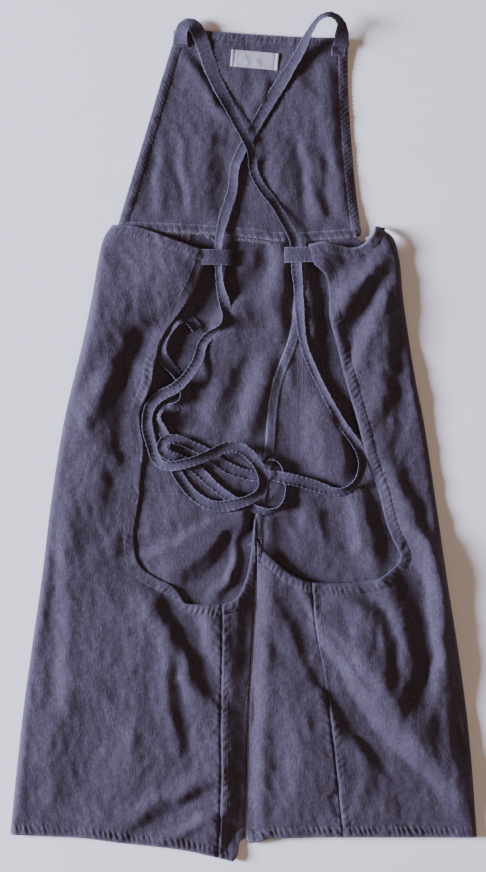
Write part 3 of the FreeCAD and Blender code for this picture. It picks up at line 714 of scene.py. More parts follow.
# ------------------------------------------------------------------------- materials
def new_look(name, roughness=None, sheen=0.0):
    """A Principled material and its builders: (material, shader, new, join, grain, noise,
    ramp, relief)."""
    material = bpy.data.materials.new(name)
    material.use_nodes = True
    nodes, join = material.node_tree.nodes, material.node_tree.links.new
    nodes.clear()
    new = nodes.new
    out = new("ShaderNodeOutputMaterial")
    shader = new("ShaderNodeBsdfPrincipled")
    join(shader.outputs[0], out.inputs[0])
    shader.inputs["Sheen Weight"].default_value = sheen
    if roughness:
        shader.inputs["Roughness"].default_value = roughness
    grain = new("ShaderNodeAttribute")
    grain.attribute_name = "grain"

    def noise(scale, detail=2.0, stretch=(1, 1, 1), rough=0.55):
        place = new("ShaderNodeMapping")
        place.inputs["Scale"].default_value = stretch
        join(grain.outputs["Vector"], place.inputs[0])
        node = new("ShaderNodeTexNoise")
        node.inputs["Scale"].default_value = scale
        node.inputs["Detail"].default_value = detail
        node.inputs["Roughness"].default_value = rough
        join(place.outputs[0], node.inputs["Vector"])
        return node.outputs["Fac"]

    def ramp(level, *stops):
        """The colour at a level: stops are (position, colour), the last two the ends."""
        node = new("ShaderNodeValToRGB")
        elements = node.color_ramp.elements
        places = [elements[0], elements[1]]
        for place, (position, colour) in zip(places, stops[-2:]):
            place.position = position
            place.color = (*colour, 1)
        for position, colour in stops[:-2]:
            elements.new(position).color = (*colour, 1)
        join(level, node.inputs[0])
        return node.outputs[0]

    def relief(height, strength, distance):
        bump = new("ShaderNodeBump")
        bump.inputs["Strength"].default_value = strength
        bump.inputs["Distance"].default_value = distance
        join(height, bump.inputs["Height"])
        join(bump.outputs[0], shader.inputs["Normal"])

    return material, shader, new, join, grain, noise, ramp, relief


def linen(name, low, mid, high, pale_wear_and_highlight, thread=0.62, weave=0.5):
    """Washed plain-weave linen: threads, slubs, uneven dye, and paler edges that are partly worn
    and partly a painted highlight.

    low, mid and high are the dye's darker, usual and lighter colours; the last colour is the
    paler one of the edges, partly worn and partly a painted highlight.
    thread is the spacing of the yarns in mm.
    """
    material, shader, new, join, grain, noise, ramp, relief = new_look(name, sheen=0.10)
    shader.inputs["Specular IOR Level"].default_value = 0.22
    shader.inputs["Sheen Roughness"].default_value = 0.45
    shader.inputs["Sheen Tint"].default_value = (0.75, 0.76, 0.95, 1)
    wear_and_highlight = new("ShaderNodeAttribute")
    wear_and_highlight.attribute_name = "wear_and_highlight"

    def maths(kind, *values):
        node = new("ShaderNodeMath")
        node.operation = kind
        for socket, value in zip(node.inputs, values):
            if isinstance(value, (int, float)):
                socket.default_value = value
            else:
                join(value, socket)
        return node.outputs[0]

    # yarns: two sets of ribs, each of uneven thickness
    split = new("ShaderNodeSeparateXYZ")
    join(grain.outputs["Vector"], split.inputs[0])
    pitch = math.pi / thread
    wobble_x = maths("MULTIPLY", noise(0.35), 1.1)
    wobble_y = maths("MULTIPLY", noise(0.33, stretch=(1, 1.2, 1)), 1.1)
    across = maths("SINE", maths("MULTIPLY_ADD", split.outputs[0], pitch, wobble_x))
    along = maths("SINE", maths("MULTIPLY_ADD", split.outputs[1], pitch, wobble_y))
    yarns = maths("ADD", maths("ABSOLUTE", across), maths("ABSOLUTE", along))
    over = maths("MULTIPLY", across, along)
    slub_x = noise(1.0, 1.5, (1.5, 0.12, 1))
    slub_y = noise(1.0, 1.5, (0.12, 1.5, 1))
    slubs = maths("ADD", slub_x, slub_y)
    mottle = noise(0.42, 3.0, (1.0, 0.55, 1), 0.62)
    clouds = noise(0.026)

    # colour
    level = maths("MULTIPLY_ADD", slubs, 0.62, -0.12)
    level = maths("ADD", level, maths("MULTIPLY_ADD", mottle, 1.0, -0.5))
    level = maths("ADD", level, maths("MULTIPLY_ADD", clouds, 0.35, -0.175))
    level = maths("ADD", level, maths("MULTIPLY_ADD", yarns, 0.10, -0.12))
    dye = ramp(level, (0.5, mid), (0.12, low), (0.88, high))
    # painted highlight: the edge attribute mixes the dye towards the pale colour, partly worn
    # paleness and partly a painted highlight on the rolled edges
    rubbed_and_highlit = maths("MULTIPLY", wear_and_highlight.outputs["Fac"],
                   maths("MULTIPLY_ADD", noise(0.55, 3.0), 1.6, -0.25))
    share = new("ShaderNodeClamp")
    join(rubbed_and_highlit, share.inputs[0])
    mix = new("ShaderNodeMix")
    mix.data_type = "RGBA"
    join(share.outputs[0], mix.inputs["Factor"])
    join(dye, mix.inputs["A"])
    mix.inputs["B"].default_value = (*pale_wear_and_highlight, 1)
    join(mix.outputs["Result"], shader.inputs["Base Color"])
    join(maths("MULTIPLY_ADD", mottle, 0.14, 0.80), shader.inputs["Roughness"])

    # relief
    height = maths("MULTIPLY_ADD", yarns, 0.34 * weave, maths("MULTIPLY", over, 0.22 * weave))
    height = maths("MULTIPLY_ADD", slubs, 0.75, height)
    relief(maths("MULTIPLY_ADD", mottle, 2.2, height), 0.85, 0.00035)
    return material


def plain(name, dark, light, roughness, sheen, scale, stretch, bump_depth):
    """A fine-grained procedural material for threads, satin and the floor."""
    material, shader, _, join, _, noise, ramp, relief = new_look(name, roughness, sheen)
    level = noise(scale, 3, stretch, 0.5)
    join(ramp(level, (0.3, dark), (0.7, light)), shader.inputs["Base Color"])
    relief(level, 0.6, bump_depth)
    return material


CLOTH_LOOK = linen("washed_linen", (0.037, 0.028, 0.035), (0.060, 0.0468, 0.0625),
                   (0.096, 0.081, 0.114), (0.190, 0.170, 0.220))
TAPE_LOOK = linen("linen_tape", (0.035, 0.028, 0.037), (0.057, 0.047, 0.065),
                  (0.090, 0.078, 0.110), (0.205, 0.188, 0.240))
THREAD_LOOK = plain("sewing_thread", (0.040, 0.034, 0.046), (0.085, 0.075, 0.100), 0.6, 0.2,
                    2.0, (1, 1, 1), 0.0001)
OVERLOCK_LOOK = plain("overlock_thread", (0.118, 0.111, 0.126), (0.311, 0.296, 0.318), 0.75,
                      0.3, 1.2, (1, 1, 1), 0.0001)
SATIN_LOOK = plain("satin_label", (0.36, 0.335, 0.375), (0.48, 0.455, 0.50), 0.36, 0.1,
                   1.6, (0.12, 1.4, 1), 0.00006)
FLOOR_LOOK = plain("pale_floor", (0.915, 0.89, 0.85), (0.93, 0.905, 0.865), 0.85, 0.0,
                   0.02, (1, 1, 1), 0.00002)


# ------------------------------------------------------- camera, light and the floor
camera_data = bpy.data.cameras.new("camera")
camera_data.sensor_width = 36.0
camera_data.lens = 36.0 * CAMERA_HEIGHT / (VIEW_LENGTH * MM)
camera_data.clip_end = 20.0
camera = link(bpy.data.objects.new("camera", camera_data))
camera.location = (VIEW_CENTRE[0] * MM, VIEW_CENTRE[1] * MM, CAMERA_HEIGHT)
bpy.context.scene.camera = camera


def soft_light(name, place, aim, size, watts, colour):
    """A square area light that faces a point."""
    data = bpy.data.lights.new(name, "AREA")
    data.size = size
    data.energy = watts
    data.color = colour
    lamp = link(bpy.data.objects.new(name, data))
    lamp.location = place
    lamp.rotation_euler = (Vector(aim) - Vector(place)).to_track_quat("-Z", "Y").to_euler()


soft_light("window", (-5.0, 0.25, 1.80), (0, 0, 0), 1.5, 1270.0, (0.73, 0.80, 1.14))
soft_light("room", (0.9, -0.4, 2.4), (0, 0, 0), 2.2, 18.0, (1.0, 0.70, 0.57))
world = bpy.data.worlds.new("room_light")
world.use_nodes = True
glow = world.node_tree.nodes["Background"]
glow.inputs[0].default_value = (1.0, 0.78, 0.70, 1)
glow.inputs[1].default_value = 0.112
bpy.context.scene.world = world

floor = make_piece("floor", [(-FLOOR, -FLOOR, 0), (FLOOR, -FLOOR, 0), (FLOOR, FLOOR, 0),
                             (-FLOOR, FLOOR, 0)], [(0, 1, 2, 3)], FLOOR_LOOK)
floor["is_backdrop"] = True


# ------------------------------------------------------------------------ the straps
def spline_line(name, route):
    """Points read along the NURBS spline whose control points are the route, in mm."""
    data = bpy.data.curves.new(name + "_line", "CURVE")
    data.dimensions = "3D"
    data.resolution_u = 12
    spline = data.splines.new("NURBS")
    spline.points.add(len(route) - 1)
    for point, place in zip(spline.points, route):
        point.co = (place[0] * MM, place[1] * MM, place[2] * MM, 1)
    spline.order_u = 3
    spline.use_endpoint_u = True
    holder = link(bpy.data.objects.new(name + "_line", data))
    bpy.context.view_layer.update()
    mesh = bpy.data.meshes.new_from_object(holder)
    points = np.array([v.co for v in mesh.vertices]) / MM
    bpy.data.meshes.remove(mesh)
    bpy.data.objects.remove(holder)
    bpy.data.curves.remove(data)
    return points


def strap(name, route, tilts, widths, seed):
    """A folded tape that follows a route: rolled along its edges, tilted where it turns.

    tilts and widths are (distance along, value) pairs: degrees up on the left edge, and
    the share of the tape's full width that shows where it is crushed lengthwise.
    """
    line = evenly(spline_line(name, route), 1.5)
    run = run_of(line)
    kernel = np.hanning(15) / np.hanning(15).sum()

    def eased(values):
        return np.convolve(np.pad(values, 7, mode="edge"), kernel, "valid")

    ahead = unit(np.gradient(line, axis=0))
    heading = np.unwrap(np.arctan2(ahead[:, 1], ahead[:, 0]))
    bend = eased(np.gradient(heading, run))
    tilt = np.interp(run, *np.array(tilts, float).T) + 9 * drift(run, 38, seed)
    tilt = np.radians(eased(tilt + np.clip(bend * 620, -30, 30)))
    width = np.interp(run, *np.array(widths, float).T) * TAPE / 2
    width *= 1 + 0.13 * field(stations(run) + 9, 19, seed + 4)
    width *= 1 + 0.17 * step_up(-line[:, 1], -200, -150)
    width = eased(np.minimum(width, 0.92 / np.maximum(np.abs(bend) * np.cos(tilt), 1e-6)))
    flat = np.column_stack([-np.sin(heading), np.cos(heading), np.zeros(len(run))])
    up = np.cross(ahead, flat)
    side = flat * np.cos(tilt)[:, None] + up * np.sin(tilt)[:, None]
    top = np.cross(ahead, side)

    # on the bib the tape is pressed flat; lower down it curls and stands clear of the cloth
    pressed = step_up(line[:, 1], 200, 255)
    share = np.clip(2 * width / TAPE, 0.3, 1.0)
    curl = (0.50 - 0.24 * pressed) * width * np.sqrt(1.5 * (1 / share - 1))
    lift = np.clip(width * np.abs(np.sin(tilt)) - 3.0 + 2.5 * pressed, 0, 3.0)
    below_it = np.where(line[:, 1] > 245, bib_height(line[:, :2]), front_height(line[:, :2]))
    clear = (1 - 0.55 * pressed) * STRAP_CLEAR
    lift += eased(np.clip(below_it + clear - line[:, 2], 0, 4.5))
    line = line + np.column_stack([0 * run, 0 * run, lift])

    shape = [(-1.0, 0.0), (-0.96, 0.62), (-0.86, 0.98), (-0.72, 0.80), (-0.45, 0.62),
             (-0.15, 0.70), (0.15, 0.72), (0.45, 0.62), (0.72, 0.80), (0.86, 0.98),
             (0.96, 0.62), (1.0, 0.0)]
    ring = shape + [(u, -t * 0.9) for u, t in shape[-2:0:-1]]
    cup = 0.10 * field(stations(run) + 77, 45, seed + 1) - 0.04
    rows, grains, worn_and_highlit = [], [], []
    for u, t in ring:
        gap = np.full(len(run), abs(u))
        rib = np.sin(2 * math.pi * run / 5.2 + 2.0 * drift(run, 17, seed + 2) + u * 2)
        pleat = np.maximum(0, field(stations(run) + 31, 8.5, seed + 5)) * drift(run, 60, seed + 6)
        ripple = 0.55 * rib * step_up(gap, 0.2, 0.95) + 2.4 * pleat * (0.3 + 0.7 * u)
        scallop = 0.22 * np.sin(2 * math.pi * run / 10.4 + 3 * drift(run, 30, seed + 3))
        out = (u * width + np.sign(u) * scallop * step_up(gap, 0.7, 1.0))[:, None]
        high = (1 - 0.4 * pressed) * (t * TAPE_PLY / 2 + ripple + 10 * cup * (u * u - 0.4))
        high += curl * (u * u - 0.4)
        rows.append(line + side * out + top * high[:, None])
        grains.append(np.column_stack([run, u * TAPE / 2 + 0 * run, t + 0 * run]))
        # the tape's rims are paled, partly as worn edges and partly as a painted highlight
        worn_and_highlit.append(step_up(gap, 0.72, 1.0) * 0.7)
    count = len(run)
    faces = grid_faces(len(ring), count, closed=True)
    caps = [[r * count for r in range(len(ring))],
            [r * count + count - 1 for r in range(len(ring))][::-1]]
    obj = make_piece(name, np.vstack(rows), faces + caps, TAPE_LOOK, np.vstack(grains),
                     np.concatenate(worn_and_highlit))
    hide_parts(name + "_upper", name + "_tail")
    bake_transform(obj)


LEFT_TILTS = [(0, 0), (30, 0), (60, -2), (90, -12), (150, -16), (190, -10), (220, -18),
              (270, -16), (300, 0), (330, 10), (380, 28), (470, 30), (520, 10), (580, -25),
              (640, -12), (700, 22), (760, 5), (820, -28), (900, 18), (980, 35), (1100, 10)]
LEFT_WIDTHS = [(0, 1.0), (40, 1.0), (75, 0.98), (110, 0.84), (150, 0.74), (200, 0.60),
               (260, 0.66), (310, 0.74), (345, 0.66), (400, 0.50), (470, 0.46), (530, 0.52),
               (600, 0.62), (700, 0.66), (780, 0.58), (900, 0.60), (1100, 0.66)]
RIGHT_TILTS = [(0, 0), (30, 10), (70, 40), (100, 20), (140, 14), (190, 4), (240, 18),
               (285, 8), (330, 20), (380, 34), (430, -34), (480, 20), (560, -24), (640, 14),
               (700, 24), (800, -18), (880, 20), (950, -34), (1010, 28), (1130, -10)]
RIGHT_WIDTHS = [(0, 1.0), (25, 0.85), (60, 0.52), (100, 0.66), (140, 0.82), (190, 0.72),
                (240, 0.66), (300, 0.70), (340, 0.56), (400, 0.62), (440, 0.58), (560, 0.64),
                (700, 0.60), (800, 0.66), (900, 0.58), (1000, 0.62), (1130, 0.72)]
strap("left_strap", LEFT_STRAP_ROUTE, LEFT_TILTS, LEFT_WIDTHS, 301)
strap("right_strap", RIGHT_STRAP_ROUTE, RIGHT_TILTS, RIGHT_WIDTHS, 331)


# ------------------------------------------------------------------- the front layer
def area_of(stretches):
    """Area inside a cut outline given in stretches, in square metres."""
    x, y = (chained(*stretches) * MM).T
    return abs(np.dot(x, np.roll(y, -1)) - np.dot(y, np.roll(x, -1))) / 2


def settle(obj, slot, body, nodes, leg=None, sheet=None, rests_on=()):
    """Hides the nodes that a piece replaces and hangs it under its body, or bakes it in place for
    a leg's piece and the bib fold's; slot is not used.
    """
    if nodes:
        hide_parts(*nodes)
    if leg:
        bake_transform(obj)
    elif body == "bib_fold":
        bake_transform(obj)
    else:
        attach(obj, body)
    if sheet:
        list(rests_on)
    return obj


def sideways(line, dx):
    return np.asarray(line, float) + (dx, 0)


def inset(line, gap):
    """A side line moved inwards, towards x = 0."""
    line = np.asarray(line, float)
    return line - np.column_stack([np.sign(line[:, 0]) * gap, np.zeros(len(line))])


def below(line, y):
    return line[line[:, 1] <= y]


left_side = smooth(LEFT_SIDE, 2.7)
right_side = smooth(RIGHT_SIDE, 2.7)
split_left = sideways(smooth(SPLIT, 2.7), -0.8)
split_right = sideways(smooth(SPLIT, 2.7), 0.8)
waist = smooth(WAIST, 2.7)
centre = smooth(CENTRE_SEAM, 2.7)
waist_left = np.vstack([[(-151.0, 234.0)], waist[waist[:, 0] < 65.0]])
waist_right = np.vstack([waist[(waist[:, 0] > 67.0) & (waist[:, 0] < 126)],
                         evenly([(130, 227), (140, 221), (156, 216), (168, 214)], 2.7)])
left_hem_line = np.vstack([smooth(LEFT_HEM, 1.6), smooth(LEFT_TIP, 1.6)[1:]])

right_hem_line = np.vstack([smooth(RIGHT_HEM, 1.6), smooth(RIGHT_HEM_STRAIGHT, 1.6)[1:]])
left_seam, right_seam = smooth(LEFT_SEAM, 1.8), smooth(RIGHT_SEAM, 1.8)
SHEETS = [
    # name, outline in stretches, height, lines to mesh finely, lines paled by wear and a painted
    # highlight, finest spacing and its reach, nodes replaced, flat size in metres, what it lies
    # on
    ("left_front", [waist_left, centre, below(split_left, -135), left_hem_line[::-1] + (0, 0.8),
                    below(inset(left_side, 1.4), 229)[::-1]],
     front_height, [HEM_LINES[0], CENTRE_LINE], [HEM_LINES[0]], (1.7, 12),
     ["left_front_panel", "left_leg_front"], (0.285, 0.70), "floor"),
    ("right_front", [waist_right, below(inset(right_side, 1.4), 208),
                     right_hem_line[::-1] + (0, 0.8), below(split_right, -135)[::-1],
                     centre[::-1]],
     front_height, [HEM_LINES[1], CENTRE_LINE], [HEM_LINES[1]], (1.7, 12),
     ["right_front_panel", "right_leg_front"], (0.27, 0.69), "floor"),
    ("left_wrap", [smooth(LEFT_WRAP_TOP, 1.5), smooth([(-44.5, 217), (-44.5, 200)], 1.5),
                   smooth(LEFT_OPENING, 1.5), smooth(LEFT_U, 1.5), left_seam,
                   left_hem_line[left_hem_line[:, 0] < -29][::-1], left_side[::-1]],
     back_height, [LEFT_EDGE, TOP_LINES[0], HEM_LINES[0], SEAM_LINES[0]],
     [LEFT_EDGE[:60], TOP_LINES[0], HEM_LINES[0]], (1.35, 15),
     ["left_back_wrap", "left_leg_back"], (0.255, 0.71), "left_front"),
    ("right_wrap", [smooth(RIGHT_WRAP_TOP, 1.5), smooth([(72, 223.7), (78, 201)], 1.5),
                    smooth(RIGHT_OPENING, 1.5), right_seam,
                    right_hem_line[right_hem_line[:, 0] > 111], right_side[::-1]],
     back_height, [RIGHT_EDGE, TOP_LINES[1], HEM_LINES[1], SEAM_LINES[1]],
     [TOP_LINES[1], HEM_LINES[1]], (1.35, 15),
     ["right_back_wrap", "right_leg_back"], (0.20, 0.69), "right_front"),
    ("left_inner_cloth", [smooth(LEFT_CROTCH, 1.5), below(split_left, -80),
                          left_hem_line[left_hem_line[:, 0] > -29][::-1], left_seam[::-1]],
     back_height, [LEFT_EDGE, HEM_LINES[0], SEAM_LINES[0], SPLIT_LINE], [HEM_LINES[0]],
     (1.35, 15), ["left_crotch_piece", "left_inner_leg"], (0.06, 0.39), "left_front"),
    ("right_inner_cloth", [smooth(RIGHT_CROTCH, 1.5), below(split_right, -106),
                           right_hem_line[right_hem_line[:, 0] < 111], right_seam[::-1]],
     back_height, [RIGHT_EDGE, HEM_LINES[1], SEAM_LINES[1], SPLIT_LINE], [HEM_LINES[1]],
     (1.35, 15), ["right_crotch_piece", "right_inner_leg"], (0.12, 0.35), "right_front"),
    ("bib", [smooth(BIB_TOP, 2.7), smooth(BIB_RIGHT, 2.7), waist[::-1],
             smooth(BIB_LEFT, 2.7)[::-1]],
     bib_height, BIB_EDGES, BIB_EDGES, (1.8, 15), ["bib_panel"], (0.275, 0.24), "floor")]
for name, cut, height, detail, worn_and_highlit, (fine, reach), nodes, flat, lies_on in SHEETS:
    body, leg = ("bib_fold", None) if name == "bib" else ("skirt", name.split("_")[0] + "_leg")
    settle(cloth(name, cut, height, detail, worn_and_highlit, fine, reach), "washed_linen", body, nodes,
           leg=leg, sheet=(*flat, area_of(cut)), rests_on=[lies_on])


# ------------------------------------------------------------ hems, facings and seams
def under_back(z_under):
    """Height of cloth turned under the back layer, that far below its upper face."""
    return lambda p, offset, run: back_height(p) - z_under


TURNED_ROWS = np.array([0.3, 1.6, 4.0, 7.0, 9.6, 11.4])
# how much each row is paled: partly worn edge, partly a painted highlight
TURNED_WEAR_AND_HIGHLIGHT = (1.0, 0.4, 0, 0, 0, 0.3)
for name, line, sign, z_under, node in (
        ("left_facing", LEFT_EDGE, -1, 1.15, "left_opening_facing"),
        ("right_facing", RIGHT_EDGE, 1, 1.15, "right_opening_facing"),
        ("left_top_hem", TOP_LINES[0], -1, 1.2, "left_wrap_top_hem"),
        ("right_top_hem", TOP_LINES[1], 1, 1.2, "right_wrap_top_hem")):
    turned_under = strip(name, line, sign * TURNED_ROWS, under_back(z_under), CLOTH_LOOK, 0.8,
                         TURNED_WEAR_AND_HIGHLIGHT)
    settle(turned_under, "washed_linen", "skirt", [node])


def leg_hem(side, line):
    """The hem inside the foot of a leg: a band on the front layer and one under the back."""
    line = evenly(line, 1.6)
    rows = [0.8, 2.5, 5.5, 8.5, 11.6]
    plan = np.vstack([beside(line, row) for row in rows])
    low = front_height(plan) + 0.95
    high = back_height(plan) - 1.2
    high = np.maximum(high, low + 0.9)
    verts = np.vstack([np.column_stack([plan, low]), np.column_stack([plan, high])])
    faces = grid_faces(len(rows), len(line))
    count = len(plan)
    faces += [tuple(i + count for i in face) for face in faces]
    # paler foot edge: partly worn paleness, partly a painted highlight
    wear_and_highlight = np.tile(np.repeat([1.0, 0.3, 0, 0, 0.2], len(line)), 2)
    hem = make_piece(side + "_leg_hem_band", verts, faces, CLOTH_LOOK, wear_and_highlight=wear_and_highlight, ply=0.75)
    return settle(hem, "washed_linen", side + "_leg", [side + "_leg_hem"])


leg_hem("left", chained(smooth([(-256, -435.3)] + LEFT_HEM[1:-1] + [(-19, -463.8)])))
leg_hem("right", smooth([(8, -443.5), (30, -439.4), (96, -437.5), (175, -437.5), (256, -438)]))


def seam_profile(p, offset, run):
    """A flat-felled seam: a plump band with fine ladder ribs between its stitch rows."""
    side = np.abs(offset) / (CENTRE_WIDTH / 2)
    crown = 1.5 - 1.3 * np.clip(side, 0, 1) ** 4 - 0.7 * np.exp(-((offset - 1.6) / 1.2) ** 2)
    shift = 0.05 * offset + 0.5 * drift(run, 19, 71)
    ribs = 0.4 * np.sin(2 * math.pi * (run / 4.3 + shift)) * (1 - side ** 4)
    bulge = 0.4 * field(np.column_stack([run, offset]), 30, 72)
    return front_height(p) + crown + 0.15 + ribs + bulge * (1 - side ** 2)


seam_rows = [-5.6, -5.2, -4.2, -2.4, 0.0, 2.4, 4.2, 5.2, 5.6]
seam_middle = smooth(CENTRE_SEAM[:-1] + [(14.6, -128)])
# the band's edges are paled, partly as wear and partly as a painted highlight
centre_seam = strip("centre_seam", seam_middle, seam_rows, seam_profile, TAPE_LOOK, 0.7,
                    (0.7, 0.9, 0.7, 0.25, 0.1, 0.25, 0.7, 0.9, 0.7))
settle(centre_seam, "washed_linen", "skirt", ["centre_front_seam"])


def waist_profile(p, offset, run):
    """Seam allowances pressed up over the foot of the bib, gathered a little."""
    side = np.clip(offset / 9.0, 0, 1)
    ribs = 0.35 * np.sin(2 * math.pi * (run / 7.5 + 0.06 * offset + 0.5 * drift(run, 26, 74)))
    crown = 1.1 * np.sin(math.pi * np.clip(side, 0.02, 0.98)) ** 0.5
    return front_height(p) + 0.3 + crown + ribs * (0.4 + 0.6 * (1 - side))


waist_middle = smooth(WAIST)[1:-1]
# the allowance's edges are paled, partly as wear and partly as a painted highlight
waist_seam = strip("waist_allowance", waist_middle, [-1.0, -0.4, 1.4, 3.6, 5.8, 8.0, 9.0, 9.4],
                   waist_profile, CLOTH_LOOK, 0.8, (0.7, 0.9, 0.5, 0.1, 0, 0.3, 0.9, 1.0))
settle(waist_seam, "washed_linen", "skirt", ["waist_seam"])


def rope_hem(width, lean, seed, twist=1.0):
    """A narrow double-turned hem that has twisted into slanted ribs in the wash."""
    def height(p, offset, run):
        side = np.clip(np.abs(offset) / width, 0, 1)
        crown = 1.2 * np.sin(math.pi * np.clip(side, 0.03, 0.97))
        shift = lean * np.abs(offset) / 9 + 0.35 * drift(run, 21, seed)
        ribs = 0.85 * twist * np.sin(2 * math.pi * (run / 5.2 + shift))
        wander = 0.5 * drift(run, 34, seed + 1)
        return bib_height(p) + 0.15 + crown + (ribs + wander) * np.sin(math.pi * side) ** 0.5
    return height


BIB_HEMS = {"left": (BIB_LEFT, 1, rope_hem(BIB_HEM, 2.4, 81)),
            "right": (BIB_RIGHT, -1, rope_hem(BIB_HEM, -1.35, 79))}
BIB_TOP_PROFILE = rope_hem(BIB_TOP_HEM, 0.5, 86, 0.25)
# how much each hem row is paled: partly worn edge, partly a painted highlight
ROPE_WEAR_AND_HIGHLIGHT = (0.5, 0.5, 0.25, 0.1, 0, 0, 0.1, 0.25)
for side, (line, sign, profile) in BIB_HEMS.items():
    rows = [sign * row for row in (-0.6, 0.3, 1.8, 3.8, 5.8, 7.6, 9.0, 9.8)]
    hem = strip("bib_%s_hem" % side, smooth(line), rows, profile, CLOTH_LOOK, 0.8, ROPE_WEAR_AND_HIGHLIGHT,
                step=1.3)
    settle(hem, "washed_linen", "bib_fold", ["bib_%s_side_hem" % side])
top_hem = strip("bib_top_band", smooth(BIB_TOP), [0.6, -0.3, -1.6, -3.2, -5.0, -6.8, -8.0, -8.6],
                BIB_TOP_PROFILE, CLOTH_LOOK, 0.8, ROPE_WEAR_AND_HIGHLIGHT, step=1.3)
settle(top_hem, "washed_linen", "bib", ["bib_top_hem"])


# --------------------------------------------------------- label, tape ends and loops
def tilted(size, centre, degrees, spacing):
    """A rectangular grid of plan points: (points, rows, columns, its own coordinates)."""
    nx = int(size[0] / spacing) + 1
    ny = int(size[1] / spacing) + 1
    gx, gy = np.meshgrid(np.linspace(-size[0] / 2, size[0] / 2, nx),
                         np.linspace(-size[1] / 2, size[1] / 2, ny))
    own = np.column_stack([gx.ravel(), gy.ravel()])
    return turned(own, degrees) + centre, ny, nx, own


plan, ny, nx, own = tilted((53, 19), (12, 430), -5, 0.8)
ends = np.abs(own[:, 0]) - 22.5
label_z = (np.maximum(bib_height(plan), BIB_Z + 0.3) + 0.75
           - 0.45 * np.exp(-(ends / 1.0) ** 2) + 0.25 * step_up(ends, 0, 3)
           + 0.35 * field(own, 22, 401) + 0.10 * field(own, 6, 402))
label = make_piece("inner_label_satin", np.column_stack([plan, label_z]), grid_faces(ny, nx),
                   SATIN_LOOK, grain=own, ply=0.4)
settle(label, "satin_label", "bib", ["inner_label"])

for side, centre, degrees in (("left", (-70, 453.5), 2), ("right", (106, 443.5), -2)):
    plan, ny, nx, own = tilted((TAPE, TAPE + 2), centre, degrees, 0.8)
    rim = np.minimum(TAPE / 2 - np.abs(own[:, 0]), TAPE / 2 + 1 - np.abs(own[:, 1]))
    patch_z = (bib_height(plan) + 1.2 + 0.4 * np.sin(math.pi * np.clip(rim / 3, 0, 1))
               - 0.5 * np.clip(1 - rim / 1.2, 0, 1) + 0.35 * field(own, 7, 411))
    # the patch's outline is paled, partly as worn edges and partly as a painted highlight
    patch = make_piece(side + "_tape_end", np.column_stack([plan, patch_z]),
                       grid_faces(ny, nx), TAPE_LOOK, grain=own,
                       wear_and_highlight=0.45 * np.exp(-(rim / 1.2) ** 2), ply=0.8)
    settle(patch, "linen_tape", "bib", [side + "_strap_sewn_end"])


def corner_loop(side, path, middle_y, slope):
    """A tape loop seen side on: `path` is its (x, z) line, which the tape follows round."""
    line = smooth(path, 0.9)
    run = run_of(line)
    out = unit(np.column_stack([-np.gradient(line[:, 1]), np.gradient(line[:, 0])]))
    sway = 0.5 * drift(run, 14, 422)
    rows, grains, wear_and_highlight = [], [], []
    for share in np.linspace(-1, 1, 17):
        y = middle_y + share * TAPE / 2 + slope * (line[:, 0] - line[0, 0])
        rim = 0.32 * math.exp(-((abs(share) - 0.82) / 0.12) ** 2)
        ripple = 0.16 * np.sin(2 * math.pi * run / 4.8 + 4 * share) * abs(share) ** 2
        bumps = 0.3 * field(np.column_stack([line[:, 0], y]), 12, 421)
        place = line + out * (rim + ripple + bumps)[:, None]
        rows.append(np.column_stack([place[:, 0], y + sway, place[:, 1]]))
        grains.append(np.column_stack([run, run * 0 + share * TAPE / 2, run * 0]))
        # the loop's tape edges are paled, partly as wear and partly as a painted highlight
        wear_and_highlight.append(np.full(len(line), step_up(abs(share), 0.85, 1.0)))
    loop = make_piece(side + "_loop", np.vstack(rows), grid_faces(17, len(line), False),
                      TAPE_LOOK, np.vstack(grains), np.concatenate(wear_and_highlight), ply=1.3)
    return settle(loop, "linen_tape", "skirt", [side + "_strap_loop"])


corner_loop("left", [(-47, 12.8), (-43, 13.0), (-39, 13.3), (-34, 13.2), (-27, 12.7), (-20, 12.0),
                     (-15.8, 10.9), (-14.2, 9.2), (-14.8, 7.6), (-17, 6.6), (-24, 6.2),
                     (-33, 6.3), (-42, 7.0), (-48, 7.8)], 209.5, -0.02)
corner_loop("right", [(89, 14.6), (82, 14.2), (76, 13.9), (70, 13.7), (64, 13.3), (56, 12.7),
                      (49.5, 11.8), (45.6, 10.4), (44.6, 8.8), (46.6, 7.4), (54, 6.7),
                      (64, 6.7), (74, 7.2), (84, 8.0)], 212.6, 0.02)


# ----------------------------------------------------------------------- the pockets
def pocket_height(p):
    """Upper face of a pocket, which lies between the front and the floor."""
    return 1.15 + 0.18 * field(p, 40, 431) + 0.08 * field(p, 9, 432)


for side, x in zip(("left", "right"), POCKET_X):
    half, (low, high), nip = POCKET_HALF, POCKET_Y, 3
    corners = [(x - half, high), (x - half, low + nip), (x - half + nip, low),
               (x + half - nip, low), (x + half, low + nip), (x + half, high), (x - half, high)]
    edge = evenly(corners, 2.7)
    pocket = cloth(side + "_patch_pocket", [edge], pocket_height, (), [edge], coarse=4.0, ply=0.8)
    settle(pocket, "washed_linen", "skirt", [side + "_pocket"],
           sheet=(0.120, 0.165, area_of([corners])), rests_on=["floor"])


# ---------------------------------------------------------------------- the stitching
def add_tube(verts, faces, centres, sides, ups, corners):
    """A closed tube, added to a mesh in the making: a ring of corners round each centre."""
    base, count = len(verts), len(centres)
    turns = [2 * math.pi * c / corners for c in range(corners)]
    for centre, side, up in zip(centres, sides, ups):
        verts += [centre + side * math.cos(turn) + up * math.sin(turn) for turn in turns]
    for r in range(count - 1):
        for c in range(corners):
            a, b = base + r * corners + c, base + r * corners + (c + 1) % corners
            faces.append((a, b, b + corners, a + corners))
    faces.append(tuple(range(base, base + corners))[::-1])
    faces.append(tuple(range(base + (count - 1) * corners, base + count * corners)))


